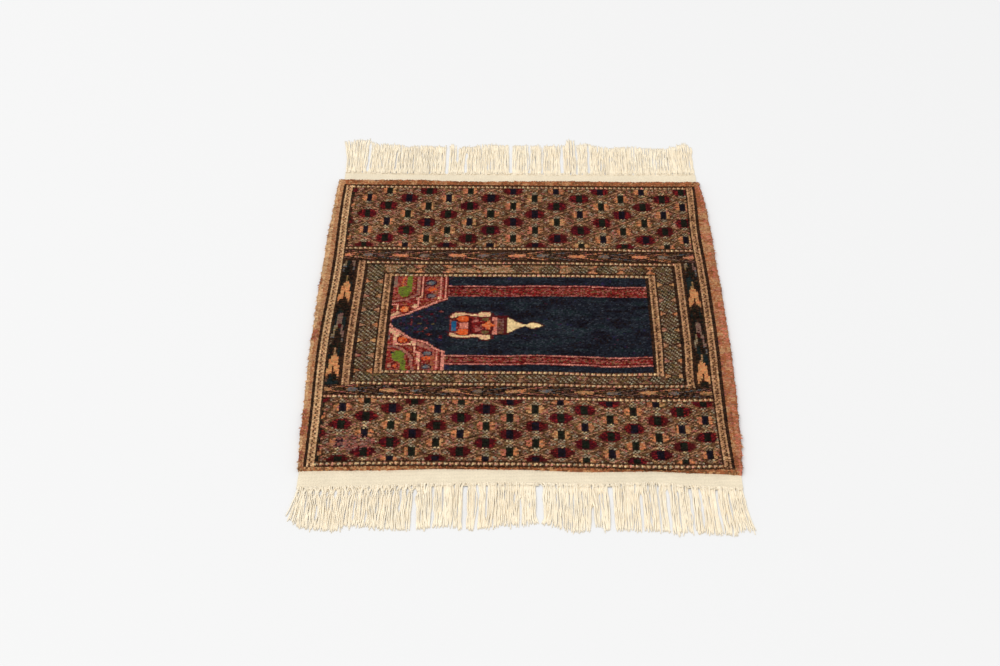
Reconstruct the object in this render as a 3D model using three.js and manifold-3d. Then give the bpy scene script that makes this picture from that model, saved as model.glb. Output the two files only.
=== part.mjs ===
// A small hand-knotted Bukhara rug of the prayer design, lying flat on the floor.
// Its long axis runs along Y, from the near fringe to the far one, and its pile faces up.
// Three solids make it: the cloth, woven in one piece with a plain kilim end on each side
// of the knotted pile, and the cotton fringe that closes each kilim end.
// All sizes are in millimetres.

import * as THREE from "three";
import { mergeVertices } from "three/addons/utils/BufferGeometryUtils.js";
import Module from "manifold-3d";

const wasm = await Module();
wasm.setup();

// Cloth
const pileHeight = 7.6;
const kilimHeight = 2.0;
const sideWallShare = 0.3; // how far up the pile's own height its side walls stand upright
const columnStep = 25; // between the cloth's even columns
const clothRows = 14; // even rows between the two rounded ends
const surfaceLift = 0.35; // how far the trodden pile rises and sinks

// The rounded shoulder of the pile: how far in from its edge, and the share of its height there.
const shoulder = [
  { inset: 0, rise: 0 },
  { inset: 0.8, rise: 0.58 },
  { inset: 2.4, rise: 0.88 },
  { inset: 6, rise: 1 },
];

// The rug's side edges, by the distance along it. The middle of the rug is a little wider.
const sideEdges = [
  { along: -330, left: -298, right: 301 },
  { along: -250, left: -302, right: 306 },
  { along: -150, left: -305.5, right: 310 },
  { along: -60, left: -308, right: 312 },
  { along: 50, left: -309, right: 311.5 },
  { along: 150, left: -308.5, right: 310 },
  { along: 250, left: -306.5, right: 308.5 },
  { along: 330, left: -304, right: 302 },
];

// The side edges of the two kilim ends, which draw in from the pile.
const kilimEdges = { left: -297, right: 300 };

// The pile's foot and the kilim's edge at each end, by the distance across the rug.
const endLines = [
  { across: -310, nearHem: -356, nearFoot: -326, farFoot: 327, farHem: 353 },
  { across: -200, nearHem: -352, nearFoot: -323.5, farFoot: 326.5, farHem: 350 },
  { across: -100, nearHem: -346, nearFoot: -320, farFoot: 323.5, farHem: 350 },
  { across: 0, nearHem: -344, nearFoot: -320, farFoot: 324, farHem: 349.5 },
  { across: 90, nearHem: -346, nearFoot: -323.5, farFoot: 327, farHem: 349.5 },
  { across: 180, nearHem: -342, nearFoot: -321, farFoot: 324.5, farHem: 351 },
  { across: 250, nearHem: -348, nearFoot: -324, farFoot: 326, farHem: 352 },
  { across: 312, nearHem: -350, nearFoot: -327, farFoot: 326.5, farHem: 353 },
];

// Fringe
const knotGap = 0.3; // between the cloth's edge and the row of knots
const knotRowWidth = 5;
const knotValley = 1.9;
const knotCrest = 3.2;
const knotCount = 47; // knots in a row
const strandsPerKnot = 3;
const strandWidth = 2.9;
const strandHeight = 2.1;
const strandSteps = 2;
const tipShare = 0.8; // a strand's size at its tip, as a share of its size at the root
const gapReach = 34; // how far to each side an open gap pushes the strands together
const lengthScatter = 3.2;
const swayScatter = 0.9;

// Where the strands end at each side, by the distance across the rug, and how far
// sideways they lean by then.
const fringeTips = {
  near: [
    { across: -300, reach: -398, lean: -15 },
    { across: -288, reach: -412, lean: -3 },
    { across: -270, reach: -424, lean: 0 },
    { across: -250, reach: -428, lean: 1 },
    { across: -195, reach: -418, lean: 0 },
    { across: -150, reach: -423, lean: -2 },
    { across: -100, reach: -419, lean: 1 },
    { across: -50, reach: -422, lean: 0 },
    { across: 0, reach: -416, lean: 0 },
    { across: 70, reach: -424, lean: 1 },
    { across: 130, reach: -422, lean: -1 },
    { across: 190, reach: -427, lean: 2 },
    { across: 240, reach: -428, lean: 1 },
    { across: 275, reach: -427, lean: 3 },
    { across: 290, reach: -421, lean: 6 },
    { across: 300, reach: -420, lean: 9 },
  ],
  far: [
    { across: -300, reach: 446, lean: -11 },
    { across: -285, reach: 446, lean: -6 },
    { across: -270, reach: 449, lean: 0 },
    { across: -245, reach: 437, lean: 1 },
    { across: -190, reach: 433, lean: 0 },
    { across: -120, reach: 438, lean: -1 },
    { across: -60, reach: 434, lean: 1 },
    { across: 0, reach: 436, lean: 0 },
    { across: 60, reach: 438, lean: 1 },
    { across: 86, reach: 449, lean: 0 },
    { across: 115, reach: 438, lean: 0 },
    { across: 190, reach: 432, lean: 2 },
    { across: 250, reach: 433, lean: 1 },
    { across: 280, reach: 440, lean: 0 },
    { across: 300, reach: 446, lean: 1 },
  ],
};

// Open gaps in the fringe, where neighbouring locks have been combed apart.
const fringeGaps = {
  near: [
    { across: -134, width: 7 },
    { across: -112, width: 4 },
    { across: -71, width: 7 },
    { across: -43, width: 4 },
    { across: 27, width: 9 },
    { across: 121, width: 7 },
    { across: 160, width: 3 },
    { across: 198, width: 6 },
    { across: 229, width: 4 },
    { across: 265, width: 3 },
  ],
  far: [
    { across: -260, width: 6 },
    { across: -213, width: 3 },
    { across: -124, width: 6 },
    { across: -95, width: 5 },
    { across: -15, width: 7 },
    { across: 17, width: 5 },
    { across: 39, width: 3 },
    { across: 72, width: 6 },
    { across: 101, width: 4 },
    { across: 120, width: 5 },
  ],
};

// A small repeatable source of scatter between -1 and 1.
function scatterFrom(seed) {
  let state = seed;
  return () => {
    state = (state * 16807) % 2147483647;
    return (state / 2147483647) * 2 - 1;
  };
}

// Reads a column of a table at a place, on a smooth course between its rows.
function readTable(table, key, place, column) {
  const last = table.length - 1;
  if (place <= table[0][key]) return table[0][column];
  if (place >= table[last][key]) return table[last][column];
  const next = table.findIndex((row) => row[key] > place);
  const before = table[next - 1];
  const after = table[next];
  const share = (place - before[key]) / (after[key] - before[key]);
  const eased = THREE.MathUtils.smoothstep(share, 0, 1);
  return THREE.MathUtils.lerp(before[column], after[column], eased);
}

const sideEdge = (side, along) => readTable(sideEdges, "along", along, side);

// An end line runs straight between the cloth's columns, so that the kilim's edge and the
// row of knots keep side by side.
function endLine(line, across) {
  const before = Math.floor(across / columnStep) * columnStep;
  const share = (across - before) / columnStep;
  const start = readTable(endLines, "across", before, line);
  const stop = readTable(endLines, "across", before + columnStep, line);
  return THREE.MathUtils.lerp(start, stop, share);
}

// A piece's geometry, with each point of a plain shape moved to its place by a function.
function shaped(geometry, place) {
  geometry.deleteAttribute("normal");
  geometry.deleteAttribute("uv");
  const points = geometry.getAttribute("position");
  const point = new THREE.Vector3();
  for (let i = 0; i < points.count; i++) {
    point.fromBufferAttribute(points, i);
    points.setXYZ(i, ...place(point));
  }
  return mergeVertices(geometry, 1e-3);
}

function solidFrom(geometry) {
  const mesh = new wasm.Mesh({
    numProp: 3,
    vertProperties: geometry.getAttribute("position").array,
    triVerts: new Uint32Array(geometry.index.array),
  });
  return new wasm.Manifold(mesh);
}

function geometryFrom(solid) {
  const mesh = solid.getMesh();
  const geometry = new THREE.BufferGeometry();
  geometry.setAttribute("position", new THREE.BufferAttribute(mesh.vertProperties, 3));
  geometry.setIndex(new THREE.BufferAttribute(mesh.triVerts, 1));
  geometry.computeVertexNormals();
  return geometry;
}

// The stops across the rug: the shoulder at each side, with even columns between.
function acrossStops() {
  const left = shoulder.map(({ inset, rise }) => ({ share: 0, shift: inset, rise }));
  const right = shoulder.map(({ inset, rise }) => ({ share: 1, shift: -inset, rise })).reverse();
  const outermost = Math.floor((kilimEdges.right - columnStep / 2) / columnStep) * columnStep;
  const even = [];
  for (let x = -outermost; x <= outermost; x += columnStep) {
    const share = THREE.MathUtils.inverseLerp(kilimEdges.left, kilimEdges.right, x);
    even.push({ share, shift: 0, rise: 1 });
  }
  return [...left, ...even, ...right];
}

// The stops along the rug: each lies a share of the way between two end lines.
function alongStops() {
  const near = shoulder.map(({ inset, rise }) => ({ share: 0, shift: inset, rise }));
  const far = shoulder.map(({ inset, rise }) => ({ share: 1, shift: -inset, rise })).reverse();
  const pile = [];
  for (let i = 1; i < clothRows; i++) pile.push({ share: i / clothRows, shift: 0, rise: 1 });
  const within = (from, to) => (stop) => ({ ...stop, from, to });
  return [
    ...[0, 0.5].map((share) => ({ share, shift: 0, rise: 0 })).map(within("nearHem", "nearFoot")),
    ...[...near, ...pile, ...far].map(within("nearFoot", "farFoot")),
    ...[0.5, 1].map((share) => ({ share, shift: 0, rise: 0 })).map(within("farFoot", "farHem")),
  ];
}

// The trodden pile is not level: long shallow waves, less than half a millimetre high.
function treadLift(x, y) {
  const waves = Math.sin(x / 61 + y / 143) + Math.sin(y / 72 - x / 118 + 1.3);
  return (surfaceLift * waves) / 2;
}

function clothGeometry() {
  const columns = acrossStops();
  const rows = alongStops();
  const box = new THREE.BoxGeometry(1, 1, 1, columns.length - 1, rows.length - 1, 1);
  return shaped(box, ({ x: u, y: v, z: w }) => {
    const column = columns[Math.round((u + 0.5) * (columns.length - 1))];
    const row = rows[Math.round((v + 0.5) * (rows.length - 1))];
    const onKilim = row.from !== "nearFoot";
    const kilimX = THREE.MathUtils.lerp(kilimEdges.left, kilimEdges.right, column.share) + column.shift;
    const from = endLine(row.from, kilimX);
    const to = endLine(row.to, kilimX);
    const y = THREE.MathUtils.lerp(from, to, row.share) + row.shift;
    const drawnIn = onKilim ? 0 : THREE.MathUtils.smoothstep(row.rise, 0, 1);
    const left = THREE.MathUtils.lerp(kilimEdges.left, sideEdge("left", y), drawnIn);
    const right = THREE.MathUtils.lerp(kilimEdges.right, sideEdge("right", y), drawnIn);
    const x = THREE.MathUtils.lerp(left, right, column.share) + column.shift;
    const sideRise = THREE.MathUtils.lerp(sideWallShare, 1, column.rise);
    const lift = column.rise === 1 && row.rise === 1 && !onKilim ? treadLift(x, y) : 0;
    const height = kilimHeight + (pileHeight - kilimHeight) * sideRise * row.rise + lift;
    return [x, y, w > 0 ? height : 0];
  });
}

// One end of the rug: which way its fringe runs, and how to read its tables.
function fringeEnd(name) {
  return {
    outward: name === "near" ? -1 : 1,
    hem: (x) => endLine(name + "Hem", x),
    tip: (x, column) => readTable(fringeTips[name], "across", x, column),
    gaps: fringeGaps[name],
    scatter: scatterFrom(name === "near" ? 1187 : 2741),
  };
}

// The row of knots: a narrow strip along the kilim's edge that swells at each knot.
function knotRowGeometry(end) {
  const strip = new THREE.BoxGeometry(1, 1, 1, knotCount * 2, 2, 1);
  const width = kilimEdges.right - kilimEdges.left;
  return shaped(strip, ({ x: u, y: v, z: w }) => {
    const x = kilimEdges.left + width * (u + 0.5);
    const outShare = end.outward * v + 0.5;
    const y = end.hem(x) + end.outward * (knotGap + knotRowWidth * outShare);
    const atKnot = Math.round((u + 0.5) * knotCount * 2) % 2 === 1;
    const crest = atKnot && Math.abs(v) < 0.25;
    return [x, y, w > 0 ? (crest ? knotCrest : knotValley) : 0];
  });
}

// How far the open gaps push a strand sideways by its tip.
function pushFromGaps(end, x) {
  let push = 0;
  for (const { across, width } of end.gaps) {
    const away = x - across;
    push += (Math.sign(away) * width * Math.exp(-Math.abs(away) / gapReach)) / 2;
  }
  return push;
}

// A three-sided strand that lies level on its flat side, from the knot to its tip.
function strandGeometry(end, rootX) {
  const reach = end.tip(rootX, "reach") + lengthScatter * end.scatter();
  const lean = end.tip(rootX, "lean") + pushFromGaps(end, rootX);
  const sway = swayScatter * end.scatter();
  const rootY = end.hem(rootX) + end.outward * (knotGap + knotRowWidth / 2);
  const prism = new THREE.CylinderGeometry(1, 1, 1, 3, strandSteps);
  return shaped(prism, ({ x: side, y: lengthwise, z: up }) => {
    const along = end.outward * lengthwise + 0.5;
    const size = THREE.MathUtils.lerp(1, tipShare, along);
    const bend = lean * along ** 1.3 + sway * Math.sin(Math.PI * along);
    const x = rootX + bend + (side * size * strandWidth) / Math.sqrt(3);
    const y = THREE.MathUtils.lerp(rootY, reach, along);
    return [x, y, ((up + 0.5) / 1.5) * size * strandHeight];
  });
}

function fringeGeometry(name) {
  const end = fringeEnd(name);
  const strands = knotCount * strandsPerKnot;
  const pitch = (kilimEdges.right - kilimEdges.left) / strands;
  let fringe = solidFrom(knotRowGeometry(end));
  for (let i = 0; i < strands; i++) {
    const rootX = kilimEdges.left + pitch * (i + 0.5);
    fringe = fringe.add(solidFrom(strandGeometry(end, rootX)));
  }
  return geometryFrom(fringe);
}

const wool = new THREE.MeshStandardMaterial({ color: "#6b4a3c", roughness: 0.95, metalness: 0 });
const cotton = new THREE.MeshStandardMaterial({ color: "#eadcbc", roughness: 0.9, metalness: 0 });

function piece(name, geometry, material) {
  const mesh = new THREE.Mesh(geometry, material.clone());
  mesh.name = name;
  return mesh;
}

const rug = new THREE.Group();
rug.add(piece("rug_cloth", clothGeometry(), wool));
rug.add(piece("fringe_near", fringeGeometry("near"), cotton));
rug.add(piece("fringe_far", fringeGeometry("far"), cotton));

// The origin is the middle of the rug's footprint, on the floor.
const middle = new THREE.Box3().setFromObject(rug).getCenter(new THREE.Vector3());
rug.position.set(-middle.x, -middle.y, 0);

export default rug;
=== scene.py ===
import math

import bmesh
import bpy
import numpy as np
from mathutils import Euler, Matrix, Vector


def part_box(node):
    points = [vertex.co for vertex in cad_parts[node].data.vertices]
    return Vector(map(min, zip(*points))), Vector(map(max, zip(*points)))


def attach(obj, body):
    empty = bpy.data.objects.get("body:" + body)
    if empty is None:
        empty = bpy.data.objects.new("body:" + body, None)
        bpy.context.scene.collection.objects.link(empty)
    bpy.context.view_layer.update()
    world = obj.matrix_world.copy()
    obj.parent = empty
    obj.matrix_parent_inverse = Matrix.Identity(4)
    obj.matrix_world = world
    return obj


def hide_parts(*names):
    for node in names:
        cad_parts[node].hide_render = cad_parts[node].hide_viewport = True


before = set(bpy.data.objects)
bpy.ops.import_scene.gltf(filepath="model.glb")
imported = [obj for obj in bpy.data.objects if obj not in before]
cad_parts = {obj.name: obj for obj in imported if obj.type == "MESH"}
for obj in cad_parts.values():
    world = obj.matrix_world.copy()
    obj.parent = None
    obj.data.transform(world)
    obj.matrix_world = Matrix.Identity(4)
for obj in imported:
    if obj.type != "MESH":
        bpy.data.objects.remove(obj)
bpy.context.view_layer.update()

mm = 0.001
print("frame loaded")

# The cloth: heights and edges in millimetres, from the middle of the pile
cloth = {
    "pileHeight": 7.6, "kilimHeight": 2.0, "selvedgeShare": 0.3, "columnStep": 25,
    "kilimLeft": -297.0, "kilimRight": 300.0,
    "shoulderInset": (0, 0.8, 2.4, 6), "shoulderRise": (0, 0.58, 0.88, 1),
    "tread": 0.35,      # how far the trodden pile rises and sinks
}
sideEdges = {
    "along": (-330, -250, -150, -60, 50, 150, 250, 330),
    "left": (-298, -302, -305.5, -308, -309, -308.5, -306.5, -304),
    "right": (301, 306, 310, 312, 311.5, 310, 308.5, 302),
}
endLines = {
    "across": (-310, -200, -100, 0, 90, 180, 250, 312),
    "nearHem": (-356, -352, -346, -344, -346, -342, -348, -350),
    "nearFoot": (-326, -323.5, -320, -320, -323.5, -321, -324, -327),
    "farFoot": (327, 326.5, 323.5, 324, 327, 324.5, 326, 326.5),
    "farHem": (353, 350, 350, 349.5, 349.5, 351, 352, 353),
}


def smooth(share):
    share = np.clip(share, 0, 1)
    return share * share * (3 - 2 * share)


def readTable(table, key, column, place):
    # a smooth course between the rows of a table
    keys, values = np.array(table[key], float), np.array(table[column], float)
    place = np.clip(place, keys[0], keys[-1])
    after = np.clip(np.searchsorted(keys, place, side="right"), 1, len(keys) - 1)
    share = smooth((place - keys[after - 1]) / (keys[after] - keys[after - 1]))
    return values[after - 1] + (values[after] - values[after - 1]) * share


def endLine(line, x):
    # straight between the cloth's columns
    step = cloth["columnStep"]
    before = np.floor(np.asarray(x, float) / step) * step
    start = readTable(endLines, "across", line, before)
    stop = readTable(endLines, "across", line, before + step)
    return start + (stop - start) * (x - before) / step


# where the middle of the pile lies in the frame
clothLow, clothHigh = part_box("rug_cloth")
origin = np.array([
    clothLow.x / mm - min(sideEdges["left"]),
    clothLow.y / mm - float(endLine("nearHem", cloth["kilimLeft"])),
    0.0,
])


def toFrame(points):
    return (np.asarray(points, float) + origin) * mm


# Yarn colours as they look in daylight, 0 to 255
yarnShades = {
    "tan": (186, 140, 97), "paleTan": (212, 172, 128), "rust": (158, 94, 60), "umber": (60, 38, 26),
    "brown": (114, 76, 50), "cocoa": (88, 57, 39), "black": (26, 19, 17), "navy": (31, 34, 42),
    "navyBlack": (24, 21, 30), "steel": (52, 56, 62), "inkGreen": (28, 38, 40),
    "greenBlack": (27, 32, 23),
    "crimson": (74, 20, 21), "deepCrimson": (54, 16, 16), "plum": (78, 18, 28), "red": (128, 32, 30),
    "orange": (202, 128, 82), "brightOrange": (208, 86, 40), "apricot": (190, 142, 92),
    "salmon": (196, 112, 90), "pink": (220, 142, 122), "rose": (160, 90, 80), "fawn": (176, 128, 96),
    "cream": (228, 198, 144),
    "stone": (160, 148, 122), "taupe": (126, 104, 84), "khaki": (116, 92, 56), "olive": (92, 76, 46),
    "green": (104, 118, 40), "mauve": (118, 84, 76), "blue": (32, 86, 122), "maroon": (80, 26, 28),
    "slate": (88, 94, 98), "indigo": (38, 34, 62), "darkPlum": (56, 24, 36), "wine": (96, 30, 22),
}
yarnIndex = {name: n for n, name in enumerate(yarnShades)}

# The design's lines, in millimetres from the middle of the pile
rug = {
    "halfWidth": 309.5, "middleX": 1.5, "near": -323.0, "far": 325.0, "panelHalf": 276,
    "knotWidth": 2.547, "knotRow": 1.4, "seed": 5474,
}
knotColumns = round(2 * rug["halfWidth"] / rug["knotWidth"])
knotRows = round((rug["far"] - rug["near"]) / rug["knotRow"])
cellWide = 2 * rug["halfWidth"] / knotColumns
cellLong = (rug["far"] - rug["near"]) / knotRows


def smoothNoise(shape, wide, tall, random):
    # soft noise with patches of about that many knots
    rows, columns = shape
    coarse = random.standard_normal((math.ceil(rows / tall) + 3, math.ceil(columns / wide) + 3))
    y, x = np.arange(rows) / tall, np.arange(columns) / wide
    yi, xi = y.astype(int), x.astype(int)
    fy, fx = smooth(y - yi)[:, None], smooth(x - xi)[None, :]
    a, b = coarse[np.ix_(yi, xi)], coarse[np.ix_(yi, xi + 1)]
    c, d = coarse[np.ix_(yi + 1, xi)], coarse[np.ix_(yi + 1, xi + 1)]
    return (a * (1 - fx) + b * fx) * (1 - fy) + (c * (1 - fx) + d * fx) * fy


class Chart:
    def __init__(self):
        self.column, self.row = np.meshgrid(np.arange(knotColumns), np.arange(knotRows))
        self.x = rug["middleX"] - rug["halfWidth"] + (self.column + 0.5) * cellWide
        self.y = rug["near"] + (self.row + 0.5) * cellLong
        self.random = np.random.default_rng(rug["seed"])
        self.yarn = np.full(self.x.shape, yarnIndex["umber"])
        self.dice = self.random.random(self.x.shape)

    def box(self, left, bottom, right, top):
        return (self.x >= left) & (self.x < right) & (self.y >= bottom) & (self.y < top)

    def knot(self, mask, yarn):
        self.yarn[mask] = yarnIndex[yarn]

    def mix(self, mask, shares):
        # deals the knots of an area between yarns, by their shares
        total = sum(shares.values())
        low = 0.0
        for yarn, share in shares.items():
            high = low + share / total
            self.yarn[mask & (self.dice >= low) & (self.dice < high)] = yarnIndex[yarn]
            low = high


def zigzag(along, pitch):
    return np.abs((along / pitch) % 1.0 - 0.5) * 4 - 1


def ellipse(chart, x, y, rx, ry):
    return ((chart.x - x) / rx) ** 2 + ((chart.y - y) / ry) ** 2 < 1


def sideGuard(chart, left, right, bottom, top):
    area = chart.box(left, bottom, right, top)
    middle, half = (left + right) / 2, (right - left) / 2
    chart.mix(area, {"tan": 4, "fawn": 4, "brown": 1, "paleTan": 1})
    core = area & (np.abs(chart.x - middle) < half * 0.5)
    chart.mix(core, {"fawn": 4, "brown": 3, "tan": 4, "umber": 2})
    wave = np.abs(chart.x - middle - half * 0.3 * zigzag(chart.y, 8.4)) < 1.3
    chart.mix(core & wave, {"cocoa": 5, "brown": 2, "umber": 3, "tan": 1})
    outermost = area & (chart.x < -270)
    chart.mix(outermost & ~core, {"tan": 3, "paleTan": 6, "fawn": 1})
    chart.mix(outermost & core & ~wave, {"tan": 4, "paleTan": 3, "fawn": 3})


def dottedGuard(chart, left, right, middle, tall, pale="paleTan"):
    area = chart.box(left, middle - tall / 2, right, middle + tall / 2)
    chart.mix(area, {"cocoa": 5, "rust": 1, "brown": 2, "umber": 3})
    edge = area & (np.abs(chart.y - middle) > tall / 2 - 1.4)
    chart.mix(edge, {"umber": 6, "cocoa": 2})
    dot = (chart.column % 3 == 0) & (np.abs(chart.y - middle) < 2.2)
    chart.mix(area & dot, {pale: 3, "cream": 3, "stone": 2, "pink": 2})
    shoulder = (chart.column % 3 == 1) & (np.abs(chart.y - middle) < 1.5)
    chart.mix(area & shoulder, {pale: 2, "tan": 2, "fawn": 4, "stone": 1})


panelMotifs = {
    # the motifs' columns, and the first row of every second column
    "far": {
        "columns": (-248, -216, -184, -151, -116, -82, -47, -10, 26, 62, 99, 135, 169, 203, 237, 270),
        "firstY": 276.0, "pitchY": 42.3, "bottom": 148.0, "top": 302.0,
        "core": 9.6, "lobe": 10.8, "line": 0.94,
    },
    "near": {
        "columns": (-248, -214, -178, -148, -115, -81, -46, -12, 24, 59, 93, 127, 161, 194, 228, 262),
        "firstY": -209.5, "pitchY": 32.9, "bottom": -309.5, "top": -191.5,
        "core": 8.2, "lobe": 9.2, "line": 0.93,
    },
}
panelDyes = {
    # a yarn, the one beside it, and the kinds of motif that have them
    "lobes": (
        ("crimson", "maroon", (0, 3, 5, 8, 9)), ("deepCrimson", "plum", (1, 4, 6, 10)),
        ("plum", "crimson", (2, 7)),
    ),
    "flanks": (
        ("orange", "fawn", (0, 2, 4, 6, 7)), ("apricot", "tan", (1, 5, 8)), ("salmon", "orange", (3,)),
    ),
}


def latticePanel(chart, end):
    sizes = panelMotifs[end]
    left, right = rug["middleX"] - rug["panelHalf"], rug["middleX"] + rug["panelHalf"]
    area = chart.box(left, sizes["bottom"], right, sizes["top"])
    places = np.array(sizes["columns"], float)
    wide, half = np.diff(places).mean(), sizes["pitchY"] / 2
    places = np.concatenate([[places[0] - wide], places, [places[-1] + wide]])
    # which diamond of the lattice each knot lies in
    u = np.interp(chart.x, places, np.arange(len(places)) - 1)
    v = (sizes["firstY"] - chart.y) / half
    p, q = np.round((u + v) / 2), np.round((v - u) / 2)
    column, step = p - q, p + q
    dx = (u - column) * wide
    dy = (step - v) * half
    ring = np.abs(dx) / wide + np.abs(dy) / half
    ax, ay = np.abs(dx), np.abs(dy)
    warm = smoothNoise(chart.x.shape, 16, 18, chart.random) > 0
    grain = smoothNoise(chart.x.shape, 1.2, 2.2, chart.random)
    chart.mix(area, {"cocoa": 4, "umber": 5, "maroon": 1, "olive": 2})
    chart.mix(area & (grain > 0), {"rose": 2, "brown": 6, "khaki": 2, "cocoa": 2})
    chart.mix(area & (grain > 0) & warm, {"khaki": 4, "brown": 4, "olive": 3, "fawn": 1})
    chart.mix(area & (grain > 0.65), {"fawn": 3, "rose": 4, "stone": 1, "brown": 2})
    chart.mix(area & (grain > 0.65) & warm, {"stone": 3, "khaki": 3, "fawn": 3, "brown": 1})
    # the lattice: one pale line between two dark ones
    chart.mix(area & (ring > sizes["line"] - 0.09), {"umber": 5, "cocoa": 5})
    chart.mix(area & (ring > sizes["line"]), {"fawn": 3, "tan": 1, "brown": 3, "rose": 1, "khaki": 1})
    core, lobe = sizes["core"], sizes["lobe"]
    checks = (chart.column + chart.row // 2) % 2 == 0
    isCrimson = ((step + column % 2) // 2 + column // 2) % 2 == 1
    kind = (column * 7 + step * 5) % 11
    # pale specks above and below each motif and beside it
    specks = (ay > core - 0.8) & (ay < core + 7.6) & (ax < 5.6 - np.abs(ay - core - 2.4) * 0.42)
    chart.mix(area & specks, {"umber": 4, "olive": 2, "cocoa": 2})
    chart.mix(area & specks & checks, {"stone": 5, "cream": 1, "taupe": 4})
    sideSpecks = (np.abs(ax - 19) / 4.4 + ay / 5.4) < 1
    chart.mix(area & sideSpecks, {"umber": 4, "mauve": 2, "cocoa": 2})
    chart.mix(area & sideSpecks & checks, {"stone": 2, "taupe": 3, "fawn": 2, "rose": 1})
    # crimson lobes with stepped edges
    stepped = np.floor(ax / cellWide) * cellWide
    lobes = (ax < 16.4) & (ay < lobe + 0.6 - 0.72 * np.maximum(stepped - 6, 0))
    lobes = area & isCrimson & lobes & ((ax < 14) | (chart.row // 2 % 2 == 0))
    for yarn, other, kinds in panelDyes["lobes"]:
        chart.mix(lobes & np.isin(kind, kinds), {yarn: 6, other: 2, "deepCrimson": 2, "red": 1})
    # orange flanks with a dark notch and ragged outer edges, each side its own dye
    flank = (ax < 12.0) & (ay < core - 1.0) & ((ax < 9.6) | (np.floor((ay + 1) / 2.8) % 2 == 1))
    flank = area & ~isCrimson & flank
    dye = (kind + np.where(dx > 0, 4, 0) + 2 * (step % 3)) % 9
    for yarn, other, dyes in panelDyes["flanks"]:
        chart.mix(flank & np.isin(dye, dyes), {yarn: 5, other: 2, "rose": 1, "rust": 2, "khaki": 1})
    notch = (ax > 8) & (ax < 12.8) & (ay < 1.5)
    chart.mix(area & ~isCrimson & notch, {"rust": 3, "umber": 2})
    # the dark block in the middle
    block = (ax < 5.2) & (ay < core)
    chart.mix(area & block, {"greenBlack": 5, "black": 3})
    chart.mix(area & block & (kind % 3 == 0), {"navyBlack": 6, "black": 2})
    edge = area & (chart.x < left + 3) & (np.abs(zigzag(chart.y, sizes["pitchY"])) < 0.6)
    chart.mix(edge, {"greenBlack": 3, "crimson": 1, "black": 2})
    if end == "near":
        # the red has run here and dyed the pale yarns
        run = ellipse(chart, -228, -276, 30, 15) & (chart.random.random(chart.x.shape) < 0.5)
        chart.mix(area & run, {"rose": 4, "mauve": 4, "plum": 1})


chevrons = {
    # where the orange points lie in each band, and the rows of yarn behind each point
    "far": (-376, -290, -201, -113, -17, 76, 178, 261, 350),
    "near": (-376, -290, -198, -111, -20, 80, 172, 259, 350),
    "spread": 60.0, "repeat": 90.0,
    "rows": (
        (0, 9, {"orange": 2, "rose": 3, "fawn": 3, "brown": 1}), (9, 22, {"black": 6, "umber": 3}),
        (22, 30, {"rust": 2, "olive": 3, "brown": 3, "umber": 1}), (30, 43, {"black": 6, "umber": 3}),
        (43, 51, {"taupe": 4, "slate": 2, "mauve": 3, "umber": 1}), (51, 65, {"black": 6, "umber": 3}),
        (65, 72, {"mauve": 2, "brown": 4, "umber": 2, "rose": 1}), (72, 90, {"black": 5, "umber": 5}),
    ),
    "bright": {
        "far": {"orange": 4, "salmon": 2, "fawn": 2, "rust": 1},
        "near": {"apricot": 3, "fawn": 3, "orange": 2, "khaki": 2},
    },
}


def arrowBand(chart, end, bottom, top):
    # long chevrons that point left, their arms reaching the band's edges
    left, right = rug["middleX"] - rug["panelHalf"], rug["middleX"] + rug["panelHalf"]
    area = chart.box(left, bottom, right, top)
    middle, half = (bottom + top) / 2, (top - bottom) / 2
    away = np.abs(chart.y - middle - 0.8 * np.sin(chart.x / 23.0)) / half
    places, repeat = chevrons[end], chevrons["repeat"]
    phases = np.arange(len(places)) * repeat
    back = np.interp(chart.x - away * chevrons["spread"], places, phases) % repeat
    ahead = np.interp(chart.x, places, phases) % repeat
    for low, high, yarns in chevrons["rows"]:
        chart.mix(area & (back >= low) & (back < high), yarns)
    body = 0.1 + 0.24 * np.sin(math.pi * np.clip(ahead / 27, 0, 1))
    chart.mix(area & (ahead < 27) & (away < body), chevrons["bright"][end])
    grey = 0.12 + 0.25 * np.sin(math.pi * np.clip((ahead - 44) / 16, 0, 1))
    heart = area & (ahead > 44) & (ahead < 60) & (away < grey)
    chart.mix(heart, {"taupe": 4, "slate": 3, "mauve": 2, "umber": 1})
    chart.mix(area & (away > 0.9), {"umber": 4, "black": 3, "cocoa": 1})


arrows = {
    # the middle's distance from the rug's, half the width, and each tip's place and yarn
    "away": 267.0, "half": 10.5, "bottom": -165, "top": 112,
    "left": [(152, "mauve"), (76, "orange"), (-12, "mauve"), (-88, "orange")],
    "right": [(150, "mauve"), (68, "orange"), (-26, "mauve"), (-96, "orange")],
}


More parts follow.
